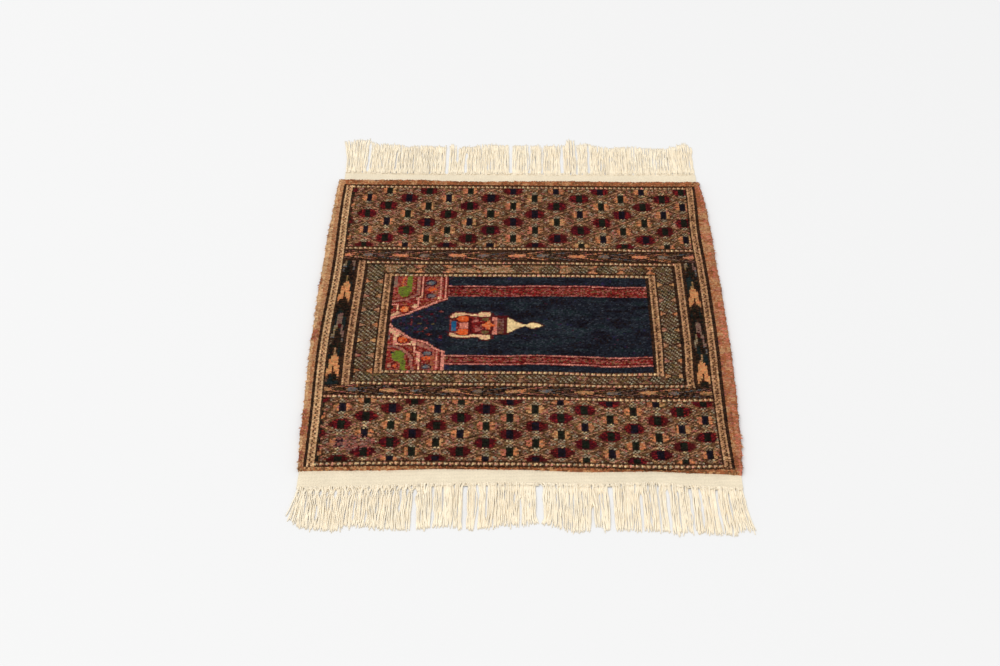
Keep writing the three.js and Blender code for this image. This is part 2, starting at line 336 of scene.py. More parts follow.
def arrowColumn(chart, side):
    sign = -1 if side == "left" else 1
    middle = rug["middleX"] + sign * arrows["away"]
    ax = np.abs(chart.x - middle)
    area = (ax < arrows["half"]) & (chart.y > arrows["bottom"]) & (chart.y < arrows["top"])
    chart.mix(area, {"black": 4, "greenBlack": 2, "umber": 3})
    greenish = smoothNoise(chart.x.shape, 3, 14, chart.random) > 0.6
    chart.mix(area & greenish, {"inkGreen": 4, "greenBlack": 2})
    for tip, yarn in arrows[side]:
        down = tip - chart.y
        if yarn == "orange":
            outer = np.interp(down, (0, 18, 20, 40, 56, 76), (1.4, 2.4, 5.0, 7.4, 9.6, 10.2))
            inner = np.interp(down, (38, 42, 54, 56, 76), (0, 1.3, 2.4, 5.6, 8.8))
            mark = (down > 0) & (down < 76) & (ax < outer) & (ax >= inner)
            chart.mix(area & mark, {"orange": 5, "apricot": 4, "rust": 1})
            chart.mix(area & mark & (down < 16), {"khaki": 4, "fawn": 2})
            chart.mix(area & mark & (down > 60), {"brown": 2, "umber": 4, "mauve": 1})
            chart.mix(area & (down > 38) & (down < 56) & (ax < inner), {"deepCrimson": 2, "umber": 5})
        else:
            outer = np.interp(down, (0, 3, 26, 30, 54, 70), (1.4, 4.0, 4.4, 6.0, 9.0, 9.8))
            inner = np.interp(down, (26, 30, 54, 70), (0, 2.4, 5.4, 8.2))
            mark = (down > 0) & (down < 70) & (ax < outer) & (ax >= inner)
            chart.mix(area & mark, {"mauve": 6, "taupe": 3, "umber": 1})
            chart.mix(area & mark & (down > 26) & (chart.x < middle), {"khaki": 3, "stone": 1, "taupe": 3})
            chart.mix(area & mark & (down > 54), {"slate": 2, "umber": 4, "taupe": 1})
            chart.mix(area & (down > 24) & (down < 34) & (ax < 2.6), {"crimson": 3, "deepCrimson": 2})


def hatchedGround(chart, area):
    hatch = (chart.column + chart.row // 2) % 3
    greenish = smoothNoise(chart.x.shape, 7, 9, chart.random) > 0.4
    chart.mix(area, {"umber": 5, "cocoa": 4, "brown": 1})
    chart.mix(area & (hatch == 0), {"taupe": 4, "stone": 4, "khaki": 2, "mauve": 1})
    chart.mix(area & (hatch == 1), {"olive": 3, "cocoa": 3, "umber": 4, "black": 1})
    chart.mix(area & greenish & (hatch != 0), {"greenBlack": 3, "olive": 3, "umber": 3})


innerTriangles = {
    # the border's edges, and where the pairs of triangles lie along each side
    "outer": 240.0, "inner": 212.5, "bottom": -157, "top": 103, "repeat": 45.0,
    "left": (63, 28, -4, -38, -72, -104, -136), "right": (60, 24, -8, -44, -77, -110, -141),
    "dyes": ("orange", "apricot", "fawn"),
    "farDyes": {"orange": 3, "fawn": 5, "rust": 2},
    "nearDyes": {"fawn": 2, "khaki": 3, "brown": 3, "taupe": 2},
}


def innerBorder(chart):
    outer, inner = innerTriangles["outer"], innerTriangles["inner"]
    low, high, repeat = innerTriangles["bottom"], innerTriangles["top"], innerTriangles["repeat"]
    for sign, side in ((-1, "left"), (1, "right")):
        middle = rug["middleX"] + sign * (outer + inner) / 2
        half = (outer - inner) / 2
        area = (np.abs(chart.x - middle) < half) & (chart.y > low) & (chart.y < high)
        hatchedGround(chart, area)
        ax = np.abs(chart.x - middle)
        for n, place in enumerate(innerTriangles[side]):
            off = np.abs(chart.y - place)
            cross = np.abs(off - (ax - 4) * 0.62) < 1.9
            chart.mix(area & cross & (ax > 1), {"umber": 5, "black": 2, "maroon": 1})
            triangle = off < (ax - 4.5) * 0.62
            dye = innerTriangles["dyes"][(n + (sign > 0)) % 3]
            chart.mix(area & triangle, {dye: 4, "rust": 1, "fawn": 3, "brown": 1})
            if n % 2 == 1:
                chart.mix(area & triangle & (chart.x < middle), {"mauve": 2, "rose": 2, "fawn": 4})
    for bottom, top, shift, dyes in ((84, high, 0, "farDyes"), (low, -142, 22, "nearDyes")):
        area = chart.box(rug["middleX"] - inner, bottom, rug["middleX"] + inner, top)
        hatchedGround(chart, area)
        middle, half = (bottom + top) / 2, (top - bottom) / 2
        phase = (chart.x + 200 + shift) % repeat
        off = np.minimum(phase, repeat - phase)
        ay = np.abs(chart.y - middle)
        cross = np.abs(off - 2 - (ay / half) * 8.0) < 2.2
        chart.mix(area & cross, {"umber": 4, "cocoa": 3, "rose": 1})
        chart.mix(area & (off < (ay / half) * 8.0) & (ay > 1.5), innerTriangles[dyes])
        if dyes == "farDyes":
            worn = smoothNoise(chart.x.shape, 6, 8, chart.random) > 0.3
            chart.mix(area & worn, {"brown": 2, "khaki": 3, "fawn": 3, "stone": 1})


plainEdges = {
    # the plain borders' inner edges, and the rounds where the left one is stained
    "across": 292.5, "far": 311.0, "near": -317.8,
    "stains": ((-301, -240, 10, 26), (-301, -60, 9, 13), (-300, -300, 8, 10)),
}


def plainBorders(chart):
    ax = np.abs(chart.x - rug["middleX"])
    isFar, isNear = chart.y > plainEdges["far"], chart.y < plainEdges["near"]
    edge = (ax > plainEdges["across"]) | isFar | isNear
    faded = smoothNoise(chart.x.shape, 5, 12, chart.random)
    left = edge & (chart.x < 0)
    right = edge & (chart.x > 0)
    chart.mix(left, {"tan": 5, "fawn": 2, "rust": 3})
    chart.mix(left & (ax > 302), {"tan": 4, "paleTan": 5, "fawn": 1})
    stained = faded > 1.3
    for stain in plainEdges["stains"]:
        stained |= ellipse(chart, *stain)
    chart.mix(left & stained, {"rust": 6, "rose": 3, "brown": 2, "tan": 2})
    chart.mix(right, {"rust": 7, "tan": 3, "rose": 1, "fawn": 2})
    chart.mix(right & (faded > 0.5), {"tan": 5, "rust": 3, "fawn": 3})
    chart.mix(right & (faded < -0.5), {"rust": 8, "rose": 2, "brown": 2})
    chart.mix(right & (ax > 303) & (faded < 0.4), {"salmon": 3, "rust": 4, "fawn": 3})
    far, near = edge & isFar & (ax < 296), edge & isNear & (ax < 296)
    chart.mix(far, {"rust": 6, "brown": 3, "tan": 1})
    chart.mix(far & (faded > 0.5), {"rust": 5, "tan": 4, "fawn": 1})
    chart.mix(near, {"rust": 5, "brown": 3, "tan": 2})
    chart.mix(edge & isNear & (chart.x < -150), {"tan": 5, "rust": 4, "brown": 1})
    line = edge & (ax > 291.5) & (ax < 294.8) & (chart.y < 312) & (chart.y > -318.5)
    chart.mix(line, {"black": 4, "umber": 5})
    chart.knot(edge & (chart.y > 309) & (chart.y < 312.6) & (ax < 294.8), "umber")
    chart.knot(edge & (chart.y < -317) & (chart.y > -319.2) & (ax < 294.8), "umber")


def slantLine(chart, x0, y0, x1, y1, thick):
    # the knots within a straight stroke between two places
    length = math.hypot(x1 - x0, y1 - y0)
    along = ((chart.x - x0) * (x1 - x0) + (chart.y - y0) * (y1 - y0)) / length
    away = np.abs((chart.x - x0) * (y1 - y0) - (chart.y - y0) * (x1 - x0)) / length
    return (along > -thick / 2) & (along < length + thick / 2) & (away < thick / 2)


def stroke(chart, places, thick):
    mask = np.zeros(chart.x.shape, bool)
    for (x0, y0), (x1, y1) in zip(places, places[1:]):
        mask |= slantLine(chart, x0, y0, x1, y1, thick)
    return mask


stripes = {
    # the two red stripes along the field: their edges, and the rows inside them from the top down
    "far": (28.8, 54.4, (
        (50.9, 53.6, {"rose": 6, "pink": 3, "red": 1}), (48, 50.9, {"deepCrimson": 3, "crimson": 5}),
        (33, 48, {"crimson": 4, "red": 4, "rose": 2, "olive": 1, "brown": 1}),
        (28.8, 31.2, {"red": 3, "rose": 5, "crimson": 1}),
    )),
    "near": (-121.4, -100.8, (
        (-103.4, -101.2, {"rose": 6, "pink": 3, "fawn": 1}),
        (-106, -103.4, {"deepCrimson": 3, "crimson": 5}),
        (-115, -106, {"crimson": 3, "red": 4, "rose": 3, "brown": 2, "olive": 1}),
        (-121, -118.2, {"pink": 2, "rose": 6, "red": 1}),
    )),
}


def field(chart):
    area = chart.box(-194.5, -134.5, 197.5, 74)
    chart.mix(area, {"navy": 7, "navyBlack": 2, "black": 1, "steel": 1})
    patches = smoothNoise(chart.x.shape, 12, 6, chart.random)
    chart.mix(area & (patches > 0.5), {"inkGreen": 4, "navy": 4, "steel": 2})
    tinted = smoothNoise(chart.x.shape, 2.2, 4.2, chart.random)
    nearArch = np.clip((-100 - chart.x) / 30, 0, 1)
    chart.mix(area & (tinted > 1.6 - 1.0 * nearArch), {"indigo": 5, "navy": 3, "darkPlum": 1})
    chart.mix(area & (tinted < -1.9 + 1.2 * nearArch), {"darkPlum": 4, "navy": 3, "navyBlack": 2})
    chart.mix(area & (patches < -0.7), {"navyBlack": 5, "navy": 3, "black": 3})
    for low, high, rows in stripes.values():
        y = chart.y - 0.9 * np.sin(chart.x / 37.0) - 0.5 * np.sin(chart.x / 13.0)
        stripe = area & (chart.x > -112)
        chart.mix(stripe & (y > low) & (y < high), {"crimson": 6, "red": 3, "maroon": 2, "brown": 1})
        for bottom, top, shares in rows:
            chart.mix(stripe & (y > bottom) & (y < top), shares)


# the two pale bands that curve round the corners of the field
upperBand = ((-156, 76), (-156, 33), (-163, 26.5), (-172, 20.5), (-183, 17.5), (-197, 14))
lowerBand = ((-197, -85.5), (-184, -84.4), (-173.5, -90), (-163.5, -99), (-157.8, -109), (-155.6, -136))
corners = {
    # the drawing beside the arch: the arch's line, then strokes and rounds laid over each other
    "upper": {
        "arch": (
            (-195, -33), (-194, -27), (-190, -21), (-185.6, -18), (-175.6, -15.4), (-167.8, -12),
            (-157.8, -4.4), (-144.4, 3.3), (-128.9, 13.3), (-110, 23),
        ),
        "strokes": (
            ("wine", 9.4, upperBand), ("band", 5.2, upperBand),
            ("wine", 6.4, ((-148.3, 76), (-148.3, 27), (-155.6, 23.5), (-153, 13), (-153, 4))),
            ("pink", 3.2, ((-148.3, 76), (-148.3, 27), (-155.6, 23.5), (-153, 13), (-153, 4))),
            ("wine", 8.0, ((-114, 22), (-114, 76))), ("edge", 3.6, ((-113, 20), (-113, 76))),
            ("edge", 1.8, ((-121.4, 22), (-121.4, 76))),
            ("rusty", 5.0, ((-126.6, 26), (-126.6, 70))), ("green", 7.8, ((-169, 42), (-169, 76))),
            ("ash", 5.0, ((-191, 52), (-191, 76))),
            ("red", 2.8, ((-184, 56), (-184, 76))), ("flame", 2.6, ((-179, 54), (-177.6, 76))),
            ("pink", 3.0, ((-195, 32), (-195, 47))),
            ("pink", 2.8, ((-197, 9), (-184, 8.6), (-184, -2))),
            ("cream", 6.2, ((-194, -19), (-184, -11))), ("cream", 3.8, ((-122.6, 27), (-122, 24))),
        ),
        "rounds": (
            ("green", -176, 39, 9.4, 13), ("green", -183, 44, 3.4, 6), ("wine", -173.3, -2, 9.8, 9.6),
            ("disc", -173.3, -2, 6.6, 6.6),
            ("cream", -158, 4, 4, 4.6), ("purple", -136, 59.4, 9, 7.8), ("slate", -136, 59.4, 5.4, 5),
            ("plum", -139.5, 50, 4.8, 3),
            ("flame", -135, 44.4, 7, 4.6), ("purple", -135.6, 28.9, 8, 6.6),
            ("slate", -135.6, 29, 5.4, 4), ("inky", -194, 2, 2.6, 5.5),
        ),
    },
    "lower": {
        "arch": (
            (-195, -33), (-192.5, -38), (-188.9, -43.3), (-181, -50), (-172.2, -57.8), (-163.3, -65.6),
            (-155.6, -70), (-146.7, -72.4), (-136.7, -75.8), (-131, -82), (-122, -90), (-110, -96),
        ),
        "strokes": (
            ("wine", 9.2, lowerBand), ("band", 4.8, lowerBand),
            ("dusk", 7.0, ((-149, -79), (-134, -87))),
            ("wine", 5.6, ((-183.3, -62), (-183.3, -78.6), (-161, -79))),
            ("pink", 3.2, ((-183.3, -62), (-183.3, -78.6), (-161, -79))),
            ("wine", 7.4, ((-156.7, -75.6), (-154, -84.4), (-153.4, -95), (-147.8, -98), (-146.2, -136))),
            ("pink", 4.0, ((-156.7, -75.6), (-154, -84.4), (-153.4, -95), (-147.8, -98), (-146.2, -136))),
            ("wine", 8.0, ((-113.6, -94), (-113.6, -136))),
            ("edge", 4.2, ((-112.6, -93), (-112.6, -136))), ("edge", 1.8, ((-121, -94), (-121, -136))),
            ("rusty", 5.0, ((-126.6, -96), (-126.6, -132))), ("cream", 8.2, ((-192, -46), (-181, -59))),
            ("green", 8.2, ((-171, -112), (-167.6, -136))), ("pink", 2.6, ((-195, -92), (-195, -136))),
        ),
        "rounds": (
            ("green", -177.5, -104.5, 9.4, 11.5), ("inky", -186.7, -97.8, 2.8, 2.8),
            ("wine", -181, -125, 4.6, 7.4), ("flame", -180, -125.6, 3, 4),
            ("band", -188.5, -125.6, 3.4, 5), ("purple", -134.6, -99, 8, 6.2),
            ("slate", -134.6, -99, 5.2, 3.8), ("flame", -136, -109, 6, 4.2),
            ("wine", -136, -109, 2.6, 1.8), ("purple", -135.6, -126.7, 8, 6),
            ("slate", -135.6, -126.7, 5.2, 3.8),
            ("wine", -171.7, -70, 9.8, 9.6), ("redDisc", -171.7, -70, 6.8, 6.8),
            ("cream", -156.7, -75.6, 4.4, 4), ("slate", -194, -64, 2.6, 6),
        ),
    },
    "yarns": {
        "ground": {"red": 5, "rust": 2, "rose": 3, "wine": 3},
        "band": {"mauve": 3, "rose": 5, "fawn": 2}, "wine": {"wine": 6, "crimson": 2, "red": 2},
        "pink": {"pink": 7, "cream": 1, "rose": 1}, "edge": {"rose": 2, "pink": 6, "fawn": 1},
        "rusty": {"rust": 4, "red": 2, "rose": 2, "olive": 1},
        "flame": {"brightOrange": 5, "rust": 2, "rose": 1}, "green": {"green": 9, "olive": 2},
        "ash": {"mauve": 3, "taupe": 3, "rose": 2},
        "cream": {"cream": 4, "pink": 5, "paleTan": 1}, "red": {"red": 7, "rose": 1},
        "plum": {"plum": 4, "darkPlum": 2, "rose": 1},
        "purple": {"navyBlack": 2, "darkPlum": 4, "mauve": 2},
        "slate": {"slate": 5, "stone": 1, "mauve": 3},
        "disc": {"orange": 6, "apricot": 1, "brightOrange": 2},
        "redDisc": {"brightOrange": 6, "red": 1, "orange": 2}, "inky": {"greenBlack": 4, "inkGreen": 3},
        "dusk": {"rose": 5, "fawn": 2, "mauve": 2},
    },
    "flecks": (
        (-132.2, -13.3, 3.6, 3.4, "plum"), (-117.8, -6.7, 4.4, 2.2, "wine"),
        (-150, -18.9, 5.4, 2.4, "plum"), (-161, -22, 3, 4, "indigo"),
        (-161.7, -31, 2, 7.5, "plum"), (-177.8, -35.5, 1.8, 4.4, "darkPlum"),
        (-147.8, -52, 5.4, 2.2, "wine"), (-134.4, -57.8, 4.4, 2.2, "wine"),
        (-116.7, -63.3, 3.6, 3.4, "plum"), (-108.9, -52, 3, 3, "darkPlum"),
        (-161, -47, 1.8, 5, "darkPlum"), (-126, -26, 2.4, 4, "darkPlum"),
        (-140, -44, 2.6, 3, "wine"), (-108, -20, 3, 3, "darkPlum"), (-168, -45, 3, 3, "indigo"),
        (-141, -26, 3, 3, "darkPlum"),
    ),
}


def spandrels(chart):
    corner = chart.box(-194.5, -134.5, -110.5, 74)
    for name, sign in (("upper", 1), ("lower", -1)):
        drawing = corners[name]
        archX, archY = zip(*drawing["arch"])
        area = corner & (sign * (chart.y - np.interp(chart.x, archX, archY)) > 0)
        chart.mix(area, corners["yarns"]["ground"])
        for yarn, thick, places in drawing["strokes"]:
            chart.mix(area & stroke(chart, places, thick), corners["yarns"][yarn])
        for yarn, x, y, rx, ry in drawing["rounds"]:
            chart.mix(area & ellipse(chart, x, y, rx, ry), corners["yarns"][yarn])
        chart.mix(corner & stroke(chart, drawing["arch"], 5.2), {"wine": 5, "umber": 2, "rose": 1})
        chart.mix(corner & stroke(chart, drawing["arch"], 3.2), {"rose": 2, "pink": 7, "fawn": 1})
    # flecks scattered on the navy inside the point of the arch
    for x, y, rx, ry, dye in corners["flecks"]:
        chart.mix(ellipse(chart, x, y, rx, ry), {dye: 7, "rose": 1, "navy": 3})
    for x in (-149, -140, -131):
        chart.mix(ellipse(chart, x, -34.5, 3.4, 1.6), {"olive": 3, "navy": 2, "maroon": 1})


lampDrawing = {
    "middle": -36.5,
    # the two cream scrolls: across, outer edge and inner edge
    "farScroll": (
        (-103, -100, -95, -85, -78, -72, -62, -58, -44, -42),
        (-17, -12, -9, -9, -11, -12, -12, -8, -8, -12),
        (-20, -20, -19, -15, -13.5, -16, -17, -18, -18, -14),
    ),
    "nearScroll": (
        (-105, -102, -92, -75, -72, -62, -55, -45, -42),
        (-58, -61, -64.5, -64.5, -62, -62, -68, -68, -64),
        (-54, -54, -59.5, -60, -57, -57, -58, -58, -61),
    ),
    "boxes": (
        ((-101, -50, -93, -27), {"blue": 6, "slate": 1}),
        ((-89, -45, -77, -32), {"salmon": 4, "pink": 3, "rose": 2}),
        ((-76, -56, -70, -20), {"crimson": 5, "deepCrimson": 3}),
        ((-32, -55, -23, -22), {"mauve": 4, "maroon": 4, "brown": 2}),
        ((-21.5, -57, -17, -20), {"maroon": 3, "crimson": 3}),
        ((-38, -54, -34, -21), {"salmon": 4, "pink": 4, "rose": 2}),
        ((-41, -28, -33, -19), {"salmon": 3, "pink": 5, "rose": 1}),
        ((-41, -57, -33, -48), {"salmon": 3, "pink": 5, "rose": 1}),
    ),
    "rounds": (
        ((-84, -23, 9, 6.6), {"brightOrange": 8, "orange": 1}),
        ((-84, -52.5, 9, 6.6), {"brightOrange": 8, "orange": 1}),
        ((-50, -24, 5, 4), {"olive": 5, "khaki": 3}), ((-51, -52, 5, 4), {"olive": 5, "khaki": 3}),
        ((-65, -27, 4, 3.4), {"rose": 4, "pink": 2}), ((-62, -48, 4, 3.4), {"rose": 4, "pink": 2}),
    ),
}


def lamp(chart):
    x, v = chart.x, np.abs(chart.y - lampDrawing["middle"])
    body = (x > -103) & (x < -42) & (v < 25)
    chart.mix(body, {"crimson": 4, "red": 4, "rose": 1})
    chart.mix((x > -44) & (x < -15) & (v < 21), {"maroon": 5, "crimson": 3})
    masks = []
    for name in ("farScroll", "nearScroll"):
        across, outer, inner = lampDrawing[name]
        high = np.maximum(np.interp(x, across, outer), np.interp(x, across, inner))
        low = np.minimum(np.interp(x, across, outer), np.interp(x, across, inner))
        rim = (x > across[0] - 3) & (x < across[-1] + 3) & (chart.y < high + 2.6) & (chart.y > low - 2.6)
        chart.mix(rim, {"crimson": 5, "maroon": 4})
        masks.append((x > across[0]) & (x < across[-1]) & (chart.y < high) & (chart.y > low))
    for (left, bottom, right, top), shares in lampDrawing["boxes"]:
        chart.mix(chart.box(left, bottom, right, top), shares)
    for places, shares in lampDrawing["rounds"]:
        chart.mix(ellipse(chart, *places), shares)
    for mask in masks:
        chart.mix(mask, {"cream": 5, "paleTan": 2, "pink": 3})
    ax = np.abs(x + 46.5)
    star = (ax / 9 + v / 9 < 1) | ((ax < 2.4) & (v < 10)) | ((v < 2.2) & (ax < 10))
    chart.mix(star, {"brightOrange": 5, "orange": 3})
    coneReach = np.interp(x, (-17, -13, -6, 2, 10, 12), (16.5, 14.5, 9, 4, 1.2, 1.2))
    dropReach = np.interp(x, (10, 13, 18, 22, 29, 37), (1.2, 3, 6, 6, 3.4, 0))
    spout = np.where(x < 11, coneReach, dropReach)
    chart.mix((x > -17) & (x < 39) & (v < spout + 2.2), {"maroon": 4, "navyBlack": 3, "crimson": 1})
    chart.mix((x > -17) & (x < 37) & (v < spout), {"cream": 8, "paleTan": 1})


borders = {
    # distances from the rug's middle on both sides, then the lowest and highest row
    "sideGuards": ((279.5, 290, -317, 309), (243, 255, -164.5, 112), (199, 209.5, -141, 82)),
    "blackLines": (
        (275.6, 279.8, -309.5, 302), (289.4, 292.8, -317, 311), (254.6, 257.4, -164.5, 112),
        (238.4, 243.2, -157, 104), (208.9, 213.2, -141, 83), (195.2, 199.2, -134, 74),
    ),
    # the reach to both sides, the middle's height and the thickness
    "dottedGuards": (
        (279.5, 306, 6.6), (276, 143.5, 7.4), (243, 108.5, 6.8), (199, 78, 6.6),
        (199, -137.6, 6.6), (243, -161, 6.8), (276, -188.2, 7.0), (279.5, -313.6, 7.2),
    ),
    "arrowBands": {"far": (115, 138), "near": (-184, -165)},
}


def weaveChart():
    chart = Chart()
    middle = rug["middleX"]
    for end in ("far", "near"):
        latticePanel(chart, end)
    for end, (bottom, top) in borders["arrowBands"].items():
        arrowBand(chart, end, bottom, top)
    for side in ("left", "right"):
        arrowColumn(chart, side)
    innerBorder(chart)
    for sign in (-1, 1):
        for low, high, bottom, top in borders["sideGuards"]:
            left, right = sorted((middle + sign * low, middle + sign * high))
            sideGuard(chart, left, right, bottom, top)
        for low, high, bottom, top in borders["blackLines"]:
            left, right = sorted((middle + sign * low, middle + sign * high))
            chart.mix(chart.box(left, bottom, right, top), {"black": 5, "umber": 4})
    for reach, height, tall in borders["dottedGuards"]:
        dottedGuard(chart, middle - reach, middle + reach, height, tall)
    plainBorders(chart)
    field(chart)
    spandrels(chart)
    lamp(chart)
    return chart


def toLinear(shade):
    shade = np.asarray(shade, float) / 255
    return np.where(shade <= 0.04045, shade / 12.92, ((shade + 0.055) / 1.055) ** 2.4)


# How the dyed wool varies from knot to knot
wool = {"knotScatter": 0.16, "rowScatter": 0.06, "darkScatter": 0.22, "patchScatter": 0.05, "spill": 0.1}


def knotColours(chart):
    shades = toLinear(np.array(list(yarnShades.values())))[chart.yarn]
    # the tufts lie into each other a little, so the colours spill over
    around = np.zeros_like(shades)
    for shift, axis in ((1, 0), (-1, 0), (1, 1), (-1, 1)):
        around += np.roll(shades, shift, axis) / 4
    shades = shades * (1 - wool["spill"]) + around * wool["spill"]
    random = chart.random
    # dark dyes take more unevenly than pale ones
    scatter = wool["knotScatter"] + wool["darkScatter"] * np.clip(1 - shades.sum(-1) / 0.15, 0, 1)
    light = 1 + scatter * random.standard_normal(chart.yarn.shape)
    light += wool["rowScatter"] * random.standard_normal((knotRows, 1))
    light += wool["patchScatter"] * smoothNoise(chart.yarn.shape, 40, 3, random)
    light += wool["patchScatter"] * smoothNoise(chart.yarn.shape, 9, 14, random)
    return shades * np.clip(light, 0.45, 1.9)[..., None]


chart = weaveChart()
knotColour = knotColours(chart)
print("chart woven:", knotColumns, "by", knotRows, "knots")


class Wire:
    # a number in a shader, with its arithmetic
    def __init__(self, finish, socket):
        self.finish, self.socket = finish, socket

    def worked(self, operation, first, second):
        return self.finish.node("ShaderNodeMath", {"operation": operation}, {0: first, 1: second})

    def __add__(self, other):
        return self.worked("ADD", self, other)

    def __radd__(self, other):
        return self.worked("ADD", other, self)

    def __sub__(self, other):
        return self.worked("SUBTRACT", self, other)

    def __rsub__(self, other):
        return self.worked("SUBTRACT", other, self)

    def __mul__(self, other):
        return self.worked("MULTIPLY", self, other)

    def __rmul__(self, other):
        return self.worked("MULTIPLY", other, self)


class Finish:
    def __init__(self, name, **looks):
        self.material = bpy.data.materials.new(name)
        self.material.use_nodes = True
        self.tree = self.material.node_tree
        self.shader = self.tree.nodes["Principled BSDF"]
        for socket, value in looks.items():
            self.shader.inputs[socket.replace("_", " ")].default_value = value

    def node(self, kind, settings=None, sockets=None, output=0):
        made = self.tree.nodes.new(kind)
        for name, value in (settings or {}).items():
            setattr(made, name, value)
        for name, value in (sockets or {}).items():
            self.feed(made.inputs[name], value)
        return Wire(self, made.outputs[output])

    def feed(self, socket, value):
        if isinstance(value, Wire):
            self.tree.links.new(value.socket, socket)
        else:
            socket.default_value = value

    def place(self):
        return self.node("ShaderNodeTexCoord", output="Object")

    def stretched(self, scale):
        return self.node("ShaderNodeMapping", {}, {"Vector": self.place(), "Scale": scale})

    def noise(self, scale, detail=2.0, roughness=0.5, where=None):
        where = where or self.place()
        sockets = {"Vector": where, "Scale": scale, "Detail": detail, "Roughness": roughness}
        return self.node("ShaderNodeTexNoise", {}, sockets)

    def remap(self, value, low, high, newLow, newHigh):
        return self.node("ShaderNodeMapRange", {}, {0: value, 1: low, 2: high, 3: newLow, 4: newHigh})

    def blend(self, mode, share, first, second):
        settings = {"data_type": "RGBA", "blend_type": mode}
        return self.node("ShaderNodeMix", settings, {0: share, 6: first, 7: second}, output=2)

    def grey(self, value):
        return self.node("ShaderNodeCombineColor", {}, {0: value, 1: value, 2: value})

    def bump(self, height, strength, distance):
        sockets = {"Height": height, "Strength": strength, "Distance": distance}
        return self.node("ShaderNodeBump", {}, sockets)

    def wear(self, **links):
        for socket, value in links.items():
            self.feed(self.shader.inputs[socket.replace("_", " ")], value)
        return self.material


def woolFinish():
    finish = Finish("wool_pile", Roughness=1.0, Specular_IOR_Level=0.02)
    yarn = finish.node("ShaderNodeAttribute", {"attribute_name": "yarn"}, output="Color")
    fibres = finish.noise(1500, 3, 0.6, finish.stretched((1, 1.7, 1)))
    patches = finish.noise(55, 3, 0.55)
    shade = finish.remap(fibres, 0.25, 0.75, 0.82, 1.16) * finish.remap(patches, 0.3, 0.7, 0.93, 1.07)
    colour = finish.blend("MULTIPLY", 1.0, yarn, finish.grey(shade))
    tufts = finish.noise(900, 4, 0.65)
    return finish.wear(Base_Color=colour, Normal=finish.bump(tufts + fibres * 0.5, 0.6, 0.0009))


def meshPiece(name, mesh, material, nodes):
    piece = bpy.data.objects.new(name, mesh)
    bpy.context.scene.collection.objects.link(piece)
    mesh.materials.append(material)
    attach(piece, "root")
    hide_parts(*nodes)
    return piece


# Where the cloth was pulled or trodden out of the straight, in millimetres
drift = {
    # each pull's place, how far it reaches along and across the rug, and how far it moves the drawing
    "pulls": (
        ((-300, -80), (80, 140), (-6, 0)),         # the left side bows out
        ((-300, 250), (50, 120), (-4, 0)),
        ((-190, -320), (60, 35), (2.8, 0)),
        ((300, -240), (45, 110), (-4, 0)),         # the right side is drawn in
        ((235, -140), (40, 40), (-3, 0)),
        ((300, 185), (50, 70), (-3, 0)),
        ((195, -245), (105, 85), (0, -6)),         # the near panel sags to the right
        ((125, -115), (55, 60), (0, -3.2)),
        ((-295, -330), (80, 55), (0, -4)),
        ((-90, -210), (130, 60), (0, -2)),
        ((205, 165), (85, 90), (0, -2.3)),
        ((-140, 215), (45, 60), (0, -2)),
    ),
    # the plain borders beyond these lines stretch to the rug's real edges
    "plainAcross": 292.0, "plainNear": -317.5, "plainFar": 311.5,
}


def drifted(x, y):
    # the sum of the soft pulls on a place of the drawing
    moveX, moveY = np.zeros(np.shape(x)), np.zeros(np.shape(x))
    for (placeX, placeY), (reachX, reachY), (pullX, pullY) in drift["pulls"]:
        share = np.exp(-((x - placeX) / reachX) ** 2 - ((y - placeY) / reachY) ** 2)
        moveX = moveX + pullX * share
        moveY = moveY + pullY * share
    return moveX, moveY


# The pile's own unevenness, corner by corner and tuft by tuft
pile = {
    "gapDepth": 1.1, "tuftRise": 0.55, "tuftScatter": 0.45, "wander": 0.28, "lean": (0.25, 0.35),
    "rimFuzz": 1.1, "spillLeft": 2.6, "spillRight": 2.4, "spillNear": 1.0, "spillFar": 2.6,
    # the knots where the field's piece meets those round it
    "sideSeam": 41, "nearSeam": 98, "farSeam": 312,
}
pileRandom = np.random.default_rng(rug["seed"] + 1)
cornerWander = pileRandom.standard_normal((knotRows + 1, knotColumns + 1, 3))
tuftWander = pileRandom.standard_normal((knotRows, knotColumns, 3))


